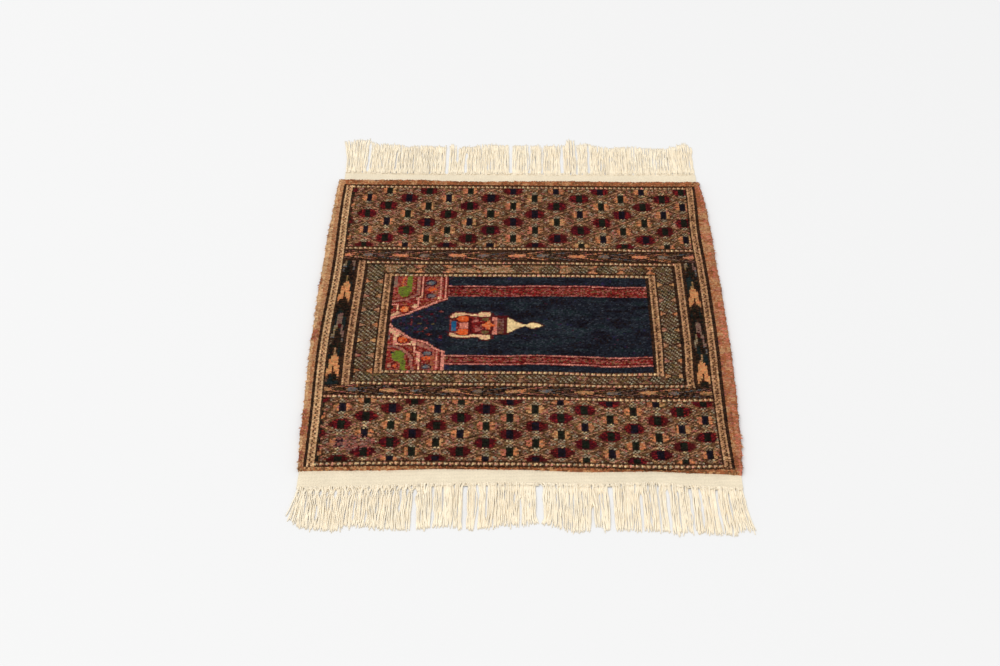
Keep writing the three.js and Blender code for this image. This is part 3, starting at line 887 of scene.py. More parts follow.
def pileGround(gx, gy):
    # a place on the knot grid, drifted as the cloth was, and laid out to the rug's real edges
    drawnX = rug["middleX"] - rug["halfWidth"] + gx * cellWide
    drawnY = rug["near"] + gy * cellLong
    reach = drift["plainAcross"]
    innerX = np.clip(drawnX, rug["middleX"] - reach, rug["middleX"] + reach)
    innerY = np.clip(drawnY, drift["plainNear"], drift["plainFar"])
    moveX, moveY = drifted(innerX, innerY)
    x, y = innerX + moveX, innerY + moveY
    sideShare = np.abs(drawnX - innerX) / (rug["halfWidth"] - reach)
    nearShare = np.clip((innerY - drawnY) / (drift["plainNear"] - rug["near"]), 0, 1)
    farShare = np.clip((drawnY - innerY) / (rug["far"] - drift["plainFar"]), 0, 1)
    left, right = readTable(sideEdges, "along", "left", y), readTable(sideEdges, "along", "right", y)
    x = x + (np.where(drawnX < 0, left, right) - x) * sideShare
    near, far = endLine("nearFoot", x), endLine("farFoot", x)
    y = y + (near - y) * nearShare + (far - y) * farShare
    left, right = readTable(sideEdges, "along", "left", y), readTable(sideEdges, "along", "right", y)
    sideInset = np.clip(np.minimum(x - left, right - x), 0, None)
    endInset = np.clip(np.minimum(y - near, far - y), 0, None)
    sideRise = np.interp(sideInset, cloth["shoulderInset"], cloth["shoulderRise"])
    sideRise = cloth["selvedgeShare"] + (1 - cloth["selvedgeShare"]) * sideRise
    endRise = np.interp(endInset, cloth["shoulderInset"], cloth["shoulderRise"])
    waves = np.sin(x / 61 + y / 143) + np.sin(y / 72 - x / 118 + 1.3)
    height = cloth["kilimHeight"] + (cloth["pileHeight"] - cloth["kilimHeight"]) * sideRise * endRise
    return x, y, height + cloth["tread"] * waves / 2 * sideRise * endRise, sideInset, endInset


def pilePoint(gx, gy, isCrown, isFoot):
    x, y, z, sideInset, endInset = pileGround(gx, gy)
    cornerRow = np.clip(np.round(gy).astype(int), 0, knotRows)
    corner = cornerWander[cornerRow, np.clip(np.round(gx).astype(int), 0, knotColumns)]
    tuft = tuftWander[np.clip(gy.astype(int), 0, knotRows - 1), np.clip(gx.astype(int), 0, knotColumns - 1)]
    inset = np.minimum(sideInset, endInset)
    rimShare = 1 - smooth(inset / 7)
    wander = np.where(isCrown[:, None], tuft, corner) * pile["wander"]
    wander = wander * (1 + rimShare * pile["rimFuzz"])[:, None]
    x = x + wander[:, 0] + np.where(isCrown, pile["lean"][0], 0)
    y = y + wander[:, 1] + np.where(isCrown, pile["lean"][1], 0)
    # the rims spill over in uneven locks
    spill = (z / cloth["pileHeight"]) ** 2
    endLocks = 1 + 0.5 * np.sin(x / 4.1 + 2 * np.sin(x / 17)) * np.sin(x / 11.7) + 0.35 * np.sin(x / 29 + 1)
    sideLocks = 1 + 0.4 * np.sin(y / 3.7 + 2 * np.sin(y / 15)) + 0.3 * np.sin(y / 23)
    sideSpill = np.where(gx > knotColumns / 2, pile["spillRight"], -pile["spillLeft"])
    endSpill = np.where(gy > knotRows / 2, pile["spillFar"] * endLocks, -pile["spillNear"])
    x = x + spill * sideSpill * sideLocks * (1 - smooth(sideInset / 9))
    y = y + spill * endSpill * (1 - smooth(endInset / 9))
    rise = pile["tuftRise"] + pile["tuftScatter"] * np.clip(tuft[:, 2], -1.5, 1.6) * 0.5
    z = z + np.where(isCrown, rise - 0.2, -pile["gapDepth"] + 0.25 * np.clip(corner[:, 2], -2, 2))
    z = np.where(isFoot, 0.5, np.maximum(z, 1.2))
    return x, y, z


def readPoints(mesh):
    points = np.empty(len(mesh.vertices) * 3)
    mesh.vertices.foreach_get("co", points)
    return points.reshape(-1, 3)


def dyeCorners(mesh, shade):
    # writes a yarn colour on each corner of each face
    colours = mesh.attributes.new("yarn", "FLOAT_COLOR", "CORNER")
    colours.data.foreach_set("color", np.c_[shade, np.ones(len(shade))].ravel())


def faceCorners(mesh):
    # the vertex of each corner, the face that owns it, and the faces' counts of corners
    corners = np.empty(len(mesh.loops), int)
    mesh.loops.foreach_get("vertex_index", corners)
    counts = np.empty(len(mesh.polygons), int)
    mesh.polygons.foreach_get("loop_total", counts)
    return corners, np.repeat(np.arange(len(counts)), counts), counts


def pilePiece(name, columns, rows, material):
    wide, tall = columns[1] - columns[0], rows[1] - rows[0]
    shape = bmesh.new()
    bmesh.ops.create_grid(shape, x_segments=wide, y_segments=tall, size=0.5)
    bmesh.ops.poke(shape, faces=shape.faces)      # one tuft on each knot
    border = [edge for edge in shape.edges if edge.is_boundary]
    skirt = bmesh.ops.extrude_edge_only(shape, edges=border)["geom"]
    feet = [part for part in skirt if isinstance(part, bmesh.types.BMVert)]
    bmesh.ops.translate(shape, verts=feet, vec=(0, 0, -1))
    bmesh.ops.contextual_create(shape, geom=[edge for edge in shape.edges if edge.is_boundary])
    bmesh.ops.recalc_face_normals(shape, faces=shape.faces)
    mesh = bpy.data.meshes.new(name)
    shape.to_mesh(mesh)
    shape.free()

    points = readPoints(mesh)
    gx, gy = (points[:, 0] + 0.5) * wide, (points[:, 1] + 0.5) * tall
    isFoot = points[:, 2] < -0.5
    isCrown = (np.abs(gx % 1 - 0.5) < 0.25) & (np.abs(gy % 1 - 0.5) < 0.25)
    gridX, gridY = np.round(gx * 2) / 2 + columns[0], np.round(gy * 2) / 2 + rows[0]
    x, y, z = pilePoint(gridX, gridY, isCrown, isFoot)
    mesh.vertices.foreach_set("co", toFrame(np.stack([x, y, z], -1)).ravel())

    # each face takes the colour of its knot and a place of its own on the map
    corners, owner, counts = faceCorners(mesh)
    faceX = np.bincount(owner, gx[corners]) / counts
    faceY = np.bincount(owner, gy[corners]) / counts
    column = np.clip(faceX.astype(int), 0, wide - 1) + columns[0]
    row = np.clip(faceY.astype(int), 0, tall - 1) + rows[0]
    dyeCorners(mesh, knotColour[row, column][owner])
    # the walls fold outwards on the map, and the hidden underside shrinks into a corner
    sideX = np.where(gx < 0.01, -1.0, np.where(gx > wide - 0.01, 1.0, 0)) * isFoot
    sideY = np.where(gy < 0.01, -1.0, np.where(gy > tall - 0.01, 1.0, 0)) * isFoot
    u = 0.03 + 0.94 * (gx / wide) + 0.02 * sideX
    v = 0.03 + 0.94 * (gy / tall) + 0.02 * sideY
    flat = np.stack([u, v], -1)[corners]
    flat[(counts > 4)[owner]] *= 0.008
    mesh.uv_layers.new(name="OFBake").data.foreach_set("uv", flat.ravel())
    mesh.polygons.foreach_set("use_smooth", counts == 3)
    mesh.update()
    return meshPiece(name, mesh, material, ["rug_cloth"])


leftSeam, rightSeam = pile["sideSeam"], knotColumns - pile["sideSeam"]
nearSeam, farSeam = pile["nearSeam"], pile["farSeam"]
pileAreas = {
    "pile_far": ((0, knotColumns), (farSeam, knotRows)),
    "pile_near": ((0, knotColumns), (0, nearSeam)),
    "pile_left": ((0, leftSeam), (nearSeam, farSeam)),
    "pile_right": ((rightSeam, knotColumns), (nearSeam, farSeam)),
    "pile_field": ((leftSeam, rightSeam), (nearSeam, farSeam)),
}
woolMaterial = woolFinish()
pilePieces = [pilePiece(name, *area, woolMaterial) for name, area in pileAreas.items()]
print("pile laid:", sum(len(piece.data.polygons) for piece in pilePieces), "faces")

# Loose locks of wool that stand out from the rims
rimLocks = {
    # along which rim: how many, and how far they stand out at most
    "left": (420, 4.2), "right": (420, 4.4), "far": (700, 5.4), "near": (420, 2.4),
}


def rimOfLocks(rim, random):
    # three-sided locks along one rim, and the colours of the knots that they grow from
    count, reach = rimLocks[rim]
    sign = -1.0 if rim in ("left", "near") else 1.0
    along = random.random(count)
    depth = random.uniform(0.3, 3.2, count)
    forward, aside = np.full(count, sign), random.normal(0, 0.5, count)
    if rim in ("left", "right"):
        gx = depth if rim == "left" else knotColumns - depth
        gy = along * knotRows
        outward = np.stack([forward, aside], -1)
    else:
        gx = along * knotColumns
        gy = depth * 1.6 if rim == "near" else knotRows - depth * 1.6
        outward = np.stack([aside, forward], -1)
    none = np.zeros(count, bool)
    x, y, z = pilePoint(gx, gy, none, none)
    foot = np.stack([x, y, z + 0.2], -1)
    long = reach * random.uniform(0.45, 1, count)
    drop = random.uniform(0.3, 0.9, count)
    tip = foot + np.concatenate([outward * (long * 0.8)[:, None], (-long * drop * 0.5)[:, None]], -1)
    tip[:, 2] = np.maximum(tip[:, 2], 0.4)
    ahead = (tip - foot) / np.linalg.norm(tip - foot, axis=-1, keepdims=True)
    sideways = np.cross(ahead, (0, 0, 1.0))
    sideways /= np.linalg.norm(sideways, axis=-1, keepdims=True)
    upward = np.cross(sideways, ahead)
    thick = random.uniform(0.7, 1.25, count)[:, None]
    base = []
    for angle in (0.5, 2.6, 4.7):
        base.append(foot + thick * (sideways * math.cos(angle) + upward * math.sin(angle)) - ahead)
    column = np.clip(gx.astype(int), 0, knotColumns - 1)
    row = np.clip(gy.astype(int), 0, knotRows - 1)
    return np.stack([*base, tip], 1), knotColour[row, column]


def locksPiece(material):
    random = np.random.default_rng(rug["seed"] + 4)
    rims = [rimOfLocks(rim, random) for rim in rimLocks]
    points = np.concatenate([rim[0] for rim in rims])
    shades = np.concatenate([rim[1] for rim in rims])
    count = len(points)
    first = np.arange(count)[:, None, None] * 4
    faces = (first + np.array([[1, 0, 3], [2, 1, 3], [0, 2, 3], [0, 1, 2]])).reshape(-1, 3)
    mesh = bpy.data.meshes.new("rim_locks")
    mesh.from_pydata(toFrame(points.reshape(-1, 3)).tolist(), [], faces.tolist())
    # each face has its own cell of the map
    across = math.ceil(math.sqrt(count * 4))
    cell = np.arange(count * 4)
    corner = np.array([[0.1, 0.1], [0.9, 0.1], [0.5, 0.9]])
    flat = (np.stack([cell % across, cell // across], -1)[:, None, :] + corner) / across
    mesh.uv_layers.new(name="OFBake").data.foreach_set("uv", flat.ravel())
    dyeCorners(mesh, np.repeat(shades, 12, axis=0))
    mesh.update()
    return meshPiece("rim_locks", mesh, material, ["rug_cloth"])


pilePieces.append(locksPiece(woolMaterial))

# The woven ground: the plain kilim ends show, the rest lies under the pile
ground = {
    "columns": 120, "pileRows": 150, "kilimRows": 10, "low": 0.15, "high": 1.9, "rimInset": 1.2,
    "cockle": 0.35, "cream": (233, 219, 192),
}


def groundFinish():
    finish = Finish("cotton_ground", Roughness=0.9, Specular_IOR_Level=0.1, Sheen_Weight=0.1)
    weft = finish.node("ShaderNodeTexWave", {"bands_direction": "Y"}, {
        "Vector": finish.place(), "Scale": 125, "Distortion": 1.6, "Detail": 2, "Detail Scale": 1.4,
    })
    warp = finish.node("ShaderNodeTexWave", {"bands_direction": "X"}, {
        "Vector": finish.place(), "Scale": 90, "Distortion": 1.0, "Detail": 2,
    })
    specks = finish.noise(420, 3, 0.6)
    stains = finish.noise(28, 4, 0.6)
    yarn = finish.node("ShaderNodeAttribute", {"attribute_name": "yarn"}, output="Color")
    shade = finish.remap(weft, 0, 1, 0.86, 1.04) * finish.remap(specks, 0.3, 0.7, 0.93, 1.05)
    shade = shade * finish.remap(stains, 0.3, 0.7, 0.93, 1.04)
    colour = finish.blend("MULTIPLY", 1.0, yarn, finish.grey(shade))
    relief = weft + warp * 0.4 + specks * 0.5
    return finish.wear(Base_Color=colour, Normal=finish.bump(relief, 0.7, 0.0006))


def groundPiece():
    columns, pileRows, kilimRows = ground["columns"], ground["pileRows"], ground["kilimRows"]
    rows = pileRows + 2 * kilimRows
    shape = bmesh.new()
    bmesh.ops.create_grid(shape, x_segments=columns, y_segments=rows, size=0.5)
    bmesh.ops.solidify(shape, geom=list(shape.faces), thickness=-1)
    bmesh.ops.recalc_face_normals(shape, faces=shape.faces)
    mesh = bpy.data.meshes.new("rug_ground")
    shape.to_mesh(mesh)
    shape.free()
    points = readPoints(mesh)
    gx, gy = points[:, 0] + 0.5, (points[:, 1] + 0.5) * rows
    high = points[:, 2] > (points[:, 2].min() + points[:, 2].max()) / 2
    kilimX = cloth["kilimLeft"] + (cloth["kilimRight"] - cloth["kilimLeft"]) * gx
    stops = {name: endLine(name, kilimX) for name in ("nearHem", "nearFoot", "farFoot", "farHem")}
    nearShare = np.clip(gy / kilimRows, 0, 1)
    pileShare = np.clip((gy - kilimRows) / pileRows, 0, 1)
    farShare = np.clip((gy - kilimRows - pileRows) / kilimRows, 0, 1)
    y = stops["nearHem"] + (stops["nearFoot"] - stops["nearHem"]) * nearShare
    y = y + (stops["farFoot"] - stops["nearFoot"]) * pileShare
    y = y + (stops["farHem"] - stops["farFoot"]) * farShare
    inPile = smooth((np.minimum(y - stops["nearFoot"], stops["farFoot"] - y)) / 6)
    left = readTable(sideEdges, "along", "left", y) + ground["rimInset"]
    right = readTable(sideEdges, "along", "right", y) - ground["rimInset"]
    left = cloth["kilimLeft"] + (left - cloth["kilimLeft"]) * inPile
    right = cloth["kilimRight"] + (right - cloth["kilimRight"]) * inPile
    x = left + (right - left) * gx
    cockle = np.sin(x / 9 + 2 * np.sin(x / 31)) * np.sin(x / 23 + y / 17) * (1 - inPile)
    z = np.where(high, ground["high"] + ground["cockle"] * (cockle - 0.4) * 0.5, ground["low"])
    mesh.vertices.foreach_set("co", toFrame(np.stack([x, y, z], -1)).ravel())
    # cream cotton on the kilim ends, the knots' backs between them
    corners, owner, counts = faceCorners(mesh)
    faceX = np.bincount(owner, gx[corners]) / counts
    faceY = np.bincount(owner, gy[corners]) / counts
    column = np.clip((faceX * knotColumns).astype(int), 0, knotColumns - 1)
    row = np.clip(((faceY - kilimRows) / pileRows * knotRows).astype(int), 0, knotRows - 1)
    cream = toLinear(ground["cream"])
    isKilim = (faceY < kilimRows) | (faceY > kilimRows + pileRows)
    shade = np.where(isKilim[:, None], cream, knotColour[row, column] * 0.9 + cream * 0.06)
    dyeCorners(mesh, shade[owner])
    mesh.update()
    return meshPiece("rug_ground", mesh, groundFinish(), ["rug_cloth"])


rugGround = groundPiece()
print("ground woven:", len(rugGround.data.polygons), "faces")

# The fringe: fine plied cotton cords tied in small knots, lengths in millimetres
fringe = {
    "knots": 62, "gap": 0.3, "cordsPerKnot": (9, 10, 10, 11), "cordRadius": 0.74, "steps": 25,
    "turnPitch": 60.0, "lengthScatter": 1.6, "strayShare": 0.12, "stray": 4.5, "sway": 0.9,
    "gapReach": 9.0,
    "looseShare": 0.34,     # cords that hang beside their knot and fill the gaps
    "tiedSpread": 0.78,     # how far a tied bundle still spreads
    # distances from the hem: into the knot, out of it, across to the second knot and free again
    "stops": (0, 2.0, 3.6, 10.5, 12.5, 21, 999),
    "firstKnot": 1.4, "secondKnot": 10.4, "knotWide": 2.6, "knotCord": 0.62, "knotTurns": 2.2,
    "broad": 1.18, "cordSlim": 1.12, "knotSlim": 0.72,      # the plies' thickness each way, in radii
    "netEdge": -120, "netKnots": -130,      # left of these the near fringe has a second row of knots
}
fringeTips = {
    # how far the cords reach, how far their tips lean sideways
    "near": {
        "across": (
            -300, -292, -285, -250, -236, -228, -200, -150, -120, -90, -60, -38, -20, 0, 20, 36, 54, 70, 92,
            100, 115, 140, 165, 190, 205, 215, 240, 262, 280, 290, 300,
        ),
        "reach": (
            -398, -412, -422, -426, -427, -419, -421, -424, -421, -419, -423, -419, -416, -414, -412, -413,
            -418, -424, -424, -415, -421, -421, -422, -424, -428, -425, -426, -428, -426, -420, -420,
        ),
        "lean": (
            -13, -5, -1, 1, 0, -1, -1, 0, 1, 0, 0, 0, 1, 0, 0, 0,
            0, 0, 1, 0, 1, -1, 0, 1, 1, 1, 1, 2, 3, 5, 9,
        ),
    },
    "far": {
        "across": (
            -300, -290, -285, -265, -255, -245, -210, -195, -180, -150, -125, -117, -108, -95, -85, -70,
            -60, 0, 60, 78, 83, 95, 100, 108, 115, 125, 150, 190, 230, 255, 265, 280, 290, 300,
        ),
        "reach": (
            448, 446, 450, 450, 443, 438, 436, 429, 434, 433, 431, 441, 424, 434, 431, 436, 438,
            436, 436, 438, 453, 453, 438, 441, 444, 438, 431, 434, 430, 430, 435, 441, 445, 436,
        ),
        "lean": (
            -9, -7, -3, 0, 1, 0, 0, -1, -1, 0, 0, 0, 0, 1, 0, 0, 1,
            0, 1, 1, 0, 0, 0, 0, 1, 1, 2, 2, 3, 2, 1, 1, 0, 0,
        ),
    },
}
fringeGaps = {
    # where the cords part, how wide, and where the parting starts and ends along them
    "near": (
        (-267, 3, 0.4, 0.7), (-217, 2.5, 0.3, 0.8), (-187, 2.5, 0.15, 0.6), (-157, 3.5, 0.06, 0.5),
        (-138, 7, 0.1, 1.4),
        (-114, 5, 0.03, 0.9), (-102, 3, 0.05, 0.6), (-71, 8, 0.0, 1.4), (-56, 4, 0.02, 1.2),
        (-43, 3.5, 0.02, 0.7),
        (3, 3, 0.3, 1.4), (28, 11, 0.0, 0.85), (98, 4, 0.5, 1.4), (108, 3, 0.2, 1.2),
        (122, 8, 0.0, 1.2), (150, 2.5, 0.4, 1.2),
        (162, 4.5, 0.2, 1.4), (174, 3, 0.0, 0.8), (185, 4, 0.0, 1.0), (198, 5, 0.1, 1.3),
        (211, 3, 0.1, 0.9), (229, 5, 0.0, 1.4),
        (241, 4, 0.0, 0.9), (264, 4, 0.0, 0.9), (279, 2, 0.1, 0.7),
    ),
    "far": (
        (-260, 6, 0.05, 0.85), (-213, 3.5, 0.1, 0.7), (-124, 6, 0.0, 0.9), (-107, 3, 0.5, 1.5),
        (-92, 5, 0.0, 0.7), (-15, 7, 0.0, 1.2),
        (17, 5, 0.0, 1.0), (39, 3, 0.0, 1.0), (73, 6, 0.0, 1.5), (99, 4, 0.0, 1.3), (119, 5, 0.0, 0.9),
        (140, 2, 0.1, 0.8),
    ),
}


def cordRings(paths, radius, turns, phase, slim):
    # four-sided rings along each path, longer one way and turning, like two plies
    ahead = np.gradient(paths, axis=1)
    ahead /= np.linalg.norm(ahead, axis=-1, keepdims=True)
    side = np.cross(ahead, np.broadcast_to((0.0, 0.0, 1.0), ahead.shape))
    short = np.linalg.norm(side, axis=-1, keepdims=True) < 1e-3
    side = np.where(short, (1.0, 0, 0), side)
    side /= np.linalg.norm(side, axis=-1, keepdims=True)
    upward = np.cross(side, ahead)
    rings = []
    for corner in range(4):
        angle = (phase + turns + corner * math.pi / 2)[..., None]
        reach = radius[..., None] * (fringe["broad"] if corner % 2 == 0 else slim)
        rings.append(paths + reach * (side * np.cos(angle) + upward * np.sin(angle)))
    return np.stack(rings, 2)


def tubeFaces(count, steps):
    # quads round each tube and a cap at each end
    first = np.arange(count)[:, None, None] * steps * 4
    step = np.arange(steps - 1)[None, :, None] * 4
    side = np.arange(4)[None, None, :]
    nextSide = (side + 1) % 4
    quads = np.stack(np.broadcast_arrays(
        first + step + side, first + step + nextSide, first + step + 4 + nextSide, first + step + 4 + side,
    ), -1).reshape(-1, 4)
    start = np.arange(count)[:, None] * steps * 4
    caps = np.concatenate([start + np.array([3, 2, 1, 0]), start + (steps - 1) * 4 + np.arange(4)])
    return quads, caps


def cordCourses(end, outward, random):
    # each cord from the hem through its knot to its tip, with the painted shadow where it is squeezed in a
    # knot
    tips, steps = fringeTips[end], fringe["steps"]
    left, right = cloth["kilimLeft"], cloth["kilimRight"]
    pitch = (right - left) / fringe["knots"]
    knots = left + pitch * (np.arange(fringe["knots"]) + 0.5) + random.normal(0, 0.5, fringe["knots"])
    knots = np.clip(knots, left + 3, right - 3)
    counts = random.choice(fringe["cordsPerKnot"], fringe["knots"])
    knotX = np.repeat(knots, counts)
    place = np.concatenate([(np.arange(n) + 0.5) / n - 0.5 for n in counts])
    count = len(knotX)
    even = knotX + place * pitch
    t = np.linspace(0, 1, steps)[None, :] ** 1.25     # closer together near the knots
    scatter = random.normal(0, fringe["lengthScatter"], count)
    reach = readTable(tips, "across", "reach", even) + outward * scatter
    isStray = random.random(count) < fringe["strayShare"]
    reach = reach + outward * isStray * random.uniform(1, fringe["stray"], count)
    hem = endLine(end + "Hem", even) - outward * 1.2
    y = hem[:, None] + (reach - hem)[:, None] * t
    out = np.abs(y - hem[:, None])
    # at the near left the cords cross to a second row of knots
    side = np.sign(place)
    junction = knotX + side * pitch / 2 - side * (0.5 - np.abs(place)) * 2.0
    net = smooth((fringe["netEdge"] - even) / 40) * 0.8 if end == "near" else np.zeros(count)
    isLoose = random.random(count) < fringe["looseShare"]
    crossed = even + (junction - even) * net * ~isLoose
    tied = np.where(isLoose, even, knotX + place * pitch * fringe["tiedSpread"])
    x = np.empty(y.shape)
    for n in range(count):
        stages = (even[n], tied[n], tied[n], crossed[n], crossed[n], even[n], even[n])
        x[n] = np.interp(out[n], fringe["stops"], stages)
    for across, width, opens, closes in fringeGaps[end]:
        away = even - across
        push = np.sign(away) * width * np.exp(-np.abs(away) / fringe["gapReach"]) / 2
        x = x + push[:, None] * smooth((t - opens) * 9 + 0.2) * (1 - smooth((t - closes) * 6))
    crimp = random.random((count, 1))
    sways = random.normal(0, fringe["sway"], (3, count))[:, :, None]
    wave = sways[0] * np.sin(math.pi * t * 1.3) + sways[1] * np.sin(2 * math.pi * t) * 0.5
    wave = wave + sways[2] * np.sin(5 * math.pi * t + crimp * 6) * 0.35
    lean = readTable(tips, "across", "lean", even) + random.normal(0, 0.9, count)
    x = x + (wave + lean[:, None] * t ** 1.8) * smooth((out - 4) / 20)
    radius = fringe["cordRadius"] * (1 + random.normal(0, 0.1, count))[:, None]
    radius = radius * (1 - 0.45 * smooth((t - 0.93) / 0.07))
    # half of the tied cords lie over the others
    layer = random.random(count)[:, None]
    layer = np.where(isLoose[:, None], layer * 0.5, layer)
    lift = (1.2 + 0.4 * np.sin(math.pi * (t * 2.4 + layer * 7))) * (layer > 0.5) * smooth((1 - t) * 4)
    z = radius * 1.1 + 0.05 + lift + 0.7 * (1 - smooth(out / 7))
    turns = np.broadcast_to(out / fringe["turnPitch"] * math.pi, x.shape)
    phase = random.random((count, 1)) * math.pi
    paths = np.stack([x, y, z], -1)
    cords = cordRings(paths, np.broadcast_to(radius, x.shape), turns, phase, fringe["cordSlim"])
    knotShadow = np.exp(-((out - 4.2) / 1.8) ** 2) + 0.8 * net[:, None] * np.exp(-((out - 12.5) / 2.0) ** 2)
    return knots, cords, knotShadow, 0.5 * smooth((t - 0.95) / 0.05)


def knotWraps(end, outward, knots, random):
    # a cord wound twice round each bundle
    pitch = (cloth["kilimRight"] - cloth["kilimLeft"]) / fringe["knots"]
    second = knots[:-1] + pitch / 2
    second = second[second < fringe["netKnots"]] if end == "near" else second[:0]
    places = np.concatenate([knots, second])[:, None]
    isFirst = np.arange(len(places))[:, None] < len(knots)
    out = np.where(isFirst, fringe["firstKnot"], fringe["secondKnot"])
    s = np.linspace(0, 1, fringe["steps"])[None, :]
    turn = s * fringe["knotTurns"] * 2 * math.pi + random.random(places.shape) * 6
    hem = endLine(end + "Hem", places) + outward * (fringe["gap"] + out)
    size = 1 + random.normal(0, 0.12, len(places))[:, None]
    paths = np.stack([
        places + fringe["knotWide"] * size * np.cos(turn),
        hem + outward * (2.0 * s + 0.4 * np.sin(turn)),
        1.75 + 0.85 * np.sin(turn),
    ], -1)
    radius = np.full(turn.shape, fringe["knotCord"]) * np.sin(math.pi * np.clip(s, 0.08, 0.92)) ** 0.3
    return cordRings(paths, radius, turn * 0.8, np.zeros(places.shape), fringe["knotSlim"])


def mapCords(mesh, count):
    # each cord has its own cell of the map and runs up it, and "ply" carries the twist
    steps = fringe["steps"]
    across = math.ceil(math.sqrt(count))
    cord = np.arange(count)[:, None, None, None]
    side = np.arange(4)[:, None] + np.array([0, 1, 1, 0])
    step = np.arange(steps - 1)[:, None, None] + np.array([0, 0, 1, 1])
    wide = np.broadcast_to(side / 4.0, (count, steps - 1, 4, 4))
    tall = np.broadcast_to(step / steps, wide.shape)
    u = (cord % across + 0.06 + 0.88 * wide) / across
    v = (cord // across + 0.04 + 0.9 * tall) / across
    cell = np.concatenate([np.arange(count)] * 2)[:, None]
    isTip = np.repeat([0.0, 1.0], count)[:, None]
    capU = (cell % across + np.array([0.3, 0.6, 0.6, 0.3])) / across
    capV = (cell // across + 0.005 + isTip * 0.95 + np.array([0, 0, 0.025, 0.025])) / across
    walls, caps = np.stack([u, v], -1).reshape(-1, 2), np.stack([capU, capV], -1).reshape(-1, 2)
    mesh.uv_layers.new(name="OFBake").data.foreach_set("uv", np.concatenate([walls, caps]).ravel())
    twist = np.stack([wide, tall * 80 + cord * 3.7], -1).reshape(-1, 2)
    twist = np.concatenate([twist, np.zeros(caps.shape)])
    mesh.uv_layers.new(name="ply").data.foreach_set("uv", twist.ravel())


def fringePiece(end, material):
    outward = -1 if end == "near" else 1
    random = np.random.default_rng(rug["seed"] + (2 if end == "near" else 3))
    knots, cords, knotShadow, frayed = cordCourses(end, outward, random)
    wraps = knotWraps(end, outward, knots, random)
    rings = np.concatenate([cords, wraps])
    quads, caps = tubeFaces(len(rings), fringe["steps"])
    points = rings.reshape(-1, 3)
    points[:, 2] = np.maximum(points[:, 2], 0.05)
    name = "fringe_cords_" + end
    mesh = bpy.data.meshes.new(name)
    mesh.from_pydata(toFrame(points).tolist(), [], np.concatenate([quads, caps]).tolist())
    mapCords(mesh, len(rings))
    # painted shade: the cords and the knot wraps are darkened where they are tied, standing in for the
    # shadow inside the knots; the cords are also greyer at their tips
    grey = knotShadow * random.uniform(0.2, 1.4, (len(cords), 1)) + frayed
    grey = np.concatenate([grey, np.full(wraps.shape[:2], 0.25)])
    grey = np.repeat(np.clip(grey, 0, 1.3).ravel(), 4)
    mesh.attributes.new("tied", "FLOAT", "POINT").data.foreach_set("value", grey)
    mesh.polygons.foreach_set("use_smooth", np.ones(len(mesh.polygons), bool))
    mesh.update()
    return meshPiece(name, mesh, material, ["fringe_" + end])


# the tied colour is painted shade, the darker cord colour that stands in for the shadow in the knots
cordShades = {"pale": (0.95, 0.85, 0.67, 1), "warm": (0.94, 0.81, 0.61, 1), "tied": (0.62, 0.52, 0.38, 1)}


def cordFinish():
    finish = Finish("cotton_cord", Roughness=0.92, Specular_IOR_Level=0.08)
    ply = finish.node("ShaderNodeUVMap", {"uv_map": "ply"})
    strands = finish.node("ShaderNodeTexWave", {"bands_direction": "DIAGONAL"}, {
        "Vector": ply, "Scale": 0.9, "Distortion": 1.2, "Detail": 2,
    })
    fibres = finish.noise(1400, 3, 0.6)
    tone = finish.noise(60, 3, 0.6)
    ends = finish.noise(14, 2, 0.5)
    shade = finish.remap(fibres, 0.3, 0.7, 0.95, 1.03) * finish.remap(tone, 0.3, 0.7, 0.93, 1.03)
    warmth = finish.remap(ends, 0.35, 0.7, 0, 0.6)
    colour = finish.blend("MIX", warmth, cordShades["pale"], cordShades["warm"])
    colour = finish.blend("MULTIPLY", 1.0, colour, finish.grey(shade))
    # painted shade: the tied attribute pulls the colour towards the tied shade where the knots shadow the
    # cords, and greys the tips
    tied = finish.node("ShaderNodeAttribute", {"attribute_name": "tied"}, output="Fac")
    colour = finish.blend("MIX", tied * 0.3, colour, cordShades["tied"])
    return finish.wear(Base_Color=colour, Normal=finish.bump(strands + fibres * 0.6, 0.3, 0.0003))


cordMaterial = cordFinish()
fringePieces = [fringePiece(end, cordMaterial) for end in ("near", "far")]
print("fringes tied:", sum(len(piece.data.polygons) for piece in fringePieces), "faces")

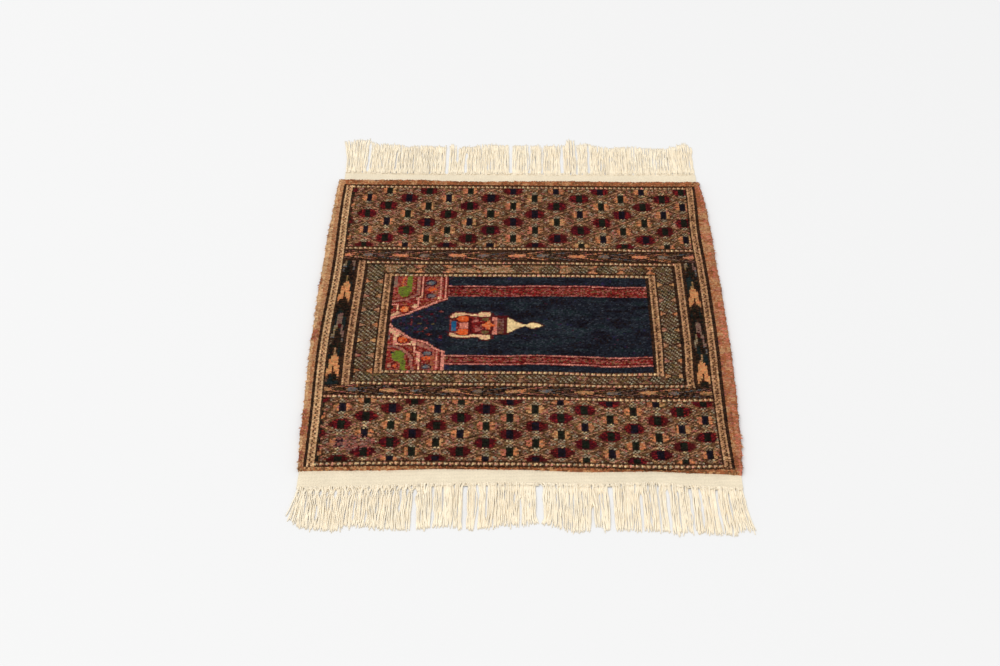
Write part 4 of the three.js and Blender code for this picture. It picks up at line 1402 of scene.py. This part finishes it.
# Studio: a plain pale floor, a soft sky and one broad lamp
studio = {
    "floorSize": 14.0, "floorShade": 0.732, "skyLight": 0.9,
    "lampPlace": (-5.8, -2.6, 13.6), "lampSize": 10.0, "lampPower": 1000.0,
}


def studioFloor():
    shape = bmesh.new()
    bmesh.ops.create_grid(shape, x_segments=1, y_segments=1, size=studio["floorSize"] / 2)
    mesh = bpy.data.meshes.new("floor")
    shape.to_mesh(mesh)
    shape.free()
    floor = bpy.data.objects.new("floor", mesh)
    bpy.context.scene.collection.objects.link(floor)
    shade = studio["floorShade"]
    finish = Finish("floor", Roughness=1.0, Specular_IOR_Level=0.0, Base_Color=(shade, shade, shade, 1))
    mesh.materials.append(finish.material)


def studioLight():
    world = bpy.data.worlds.new("soft_sky")
    world.use_nodes = True
    world.node_tree.nodes["Background"].inputs["Color"].default_value = (1, 1, 1, 1)
    world.node_tree.nodes["Background"].inputs["Strength"].default_value = studio["skyLight"]
    bpy.context.scene.world = world
    lamp = bpy.data.lights.new("soft_lamp", "AREA")
    lamp.size = studio["lampSize"]
    lamp.energy = studio["lampPower"]
    holder = bpy.data.objects.new("soft_lamp", lamp)
    holder.location = studio["lampPlace"]
    holder.rotation_euler = (-Vector(studio["lampPlace"])).to_track_quat("-Z", "Y").to_euler()
    bpy.context.scene.collection.objects.link(holder)


studioFloor()
studioLight()

# The camera stands where the photographer stood
view = {
    "elevation": 42.847, "azimuth": 0.652, "distance": 2.0819, "target": (-28.43, -46.12, 0.0),
    "lens": 50.0,
}


def standCamera():
    elevation, azimuth = math.radians(view["elevation"]), math.radians(view["azimuth"])
    level = math.cos(elevation)
    back = Vector((math.sin(azimuth) * level, -math.cos(azimuth) * level, math.sin(elevation)))
    lens = bpy.data.cameras.new("camera")
    lens.lens = view["lens"]
    lens.sensor_width = 36
    camera = bpy.data.objects.new("camera", lens)
    camera.location = Vector(toFrame(view["target"])) + back * view["distance"]
    camera.rotation_euler = Euler((math.pi / 2 - elevation, 0, azimuth))
    bpy.context.scene.collection.objects.link(camera)
    bpy.context.scene.camera = camera


standCamera()
bpy.context.scene.view_settings.view_transform = "Standard"

print("camera and studio set")
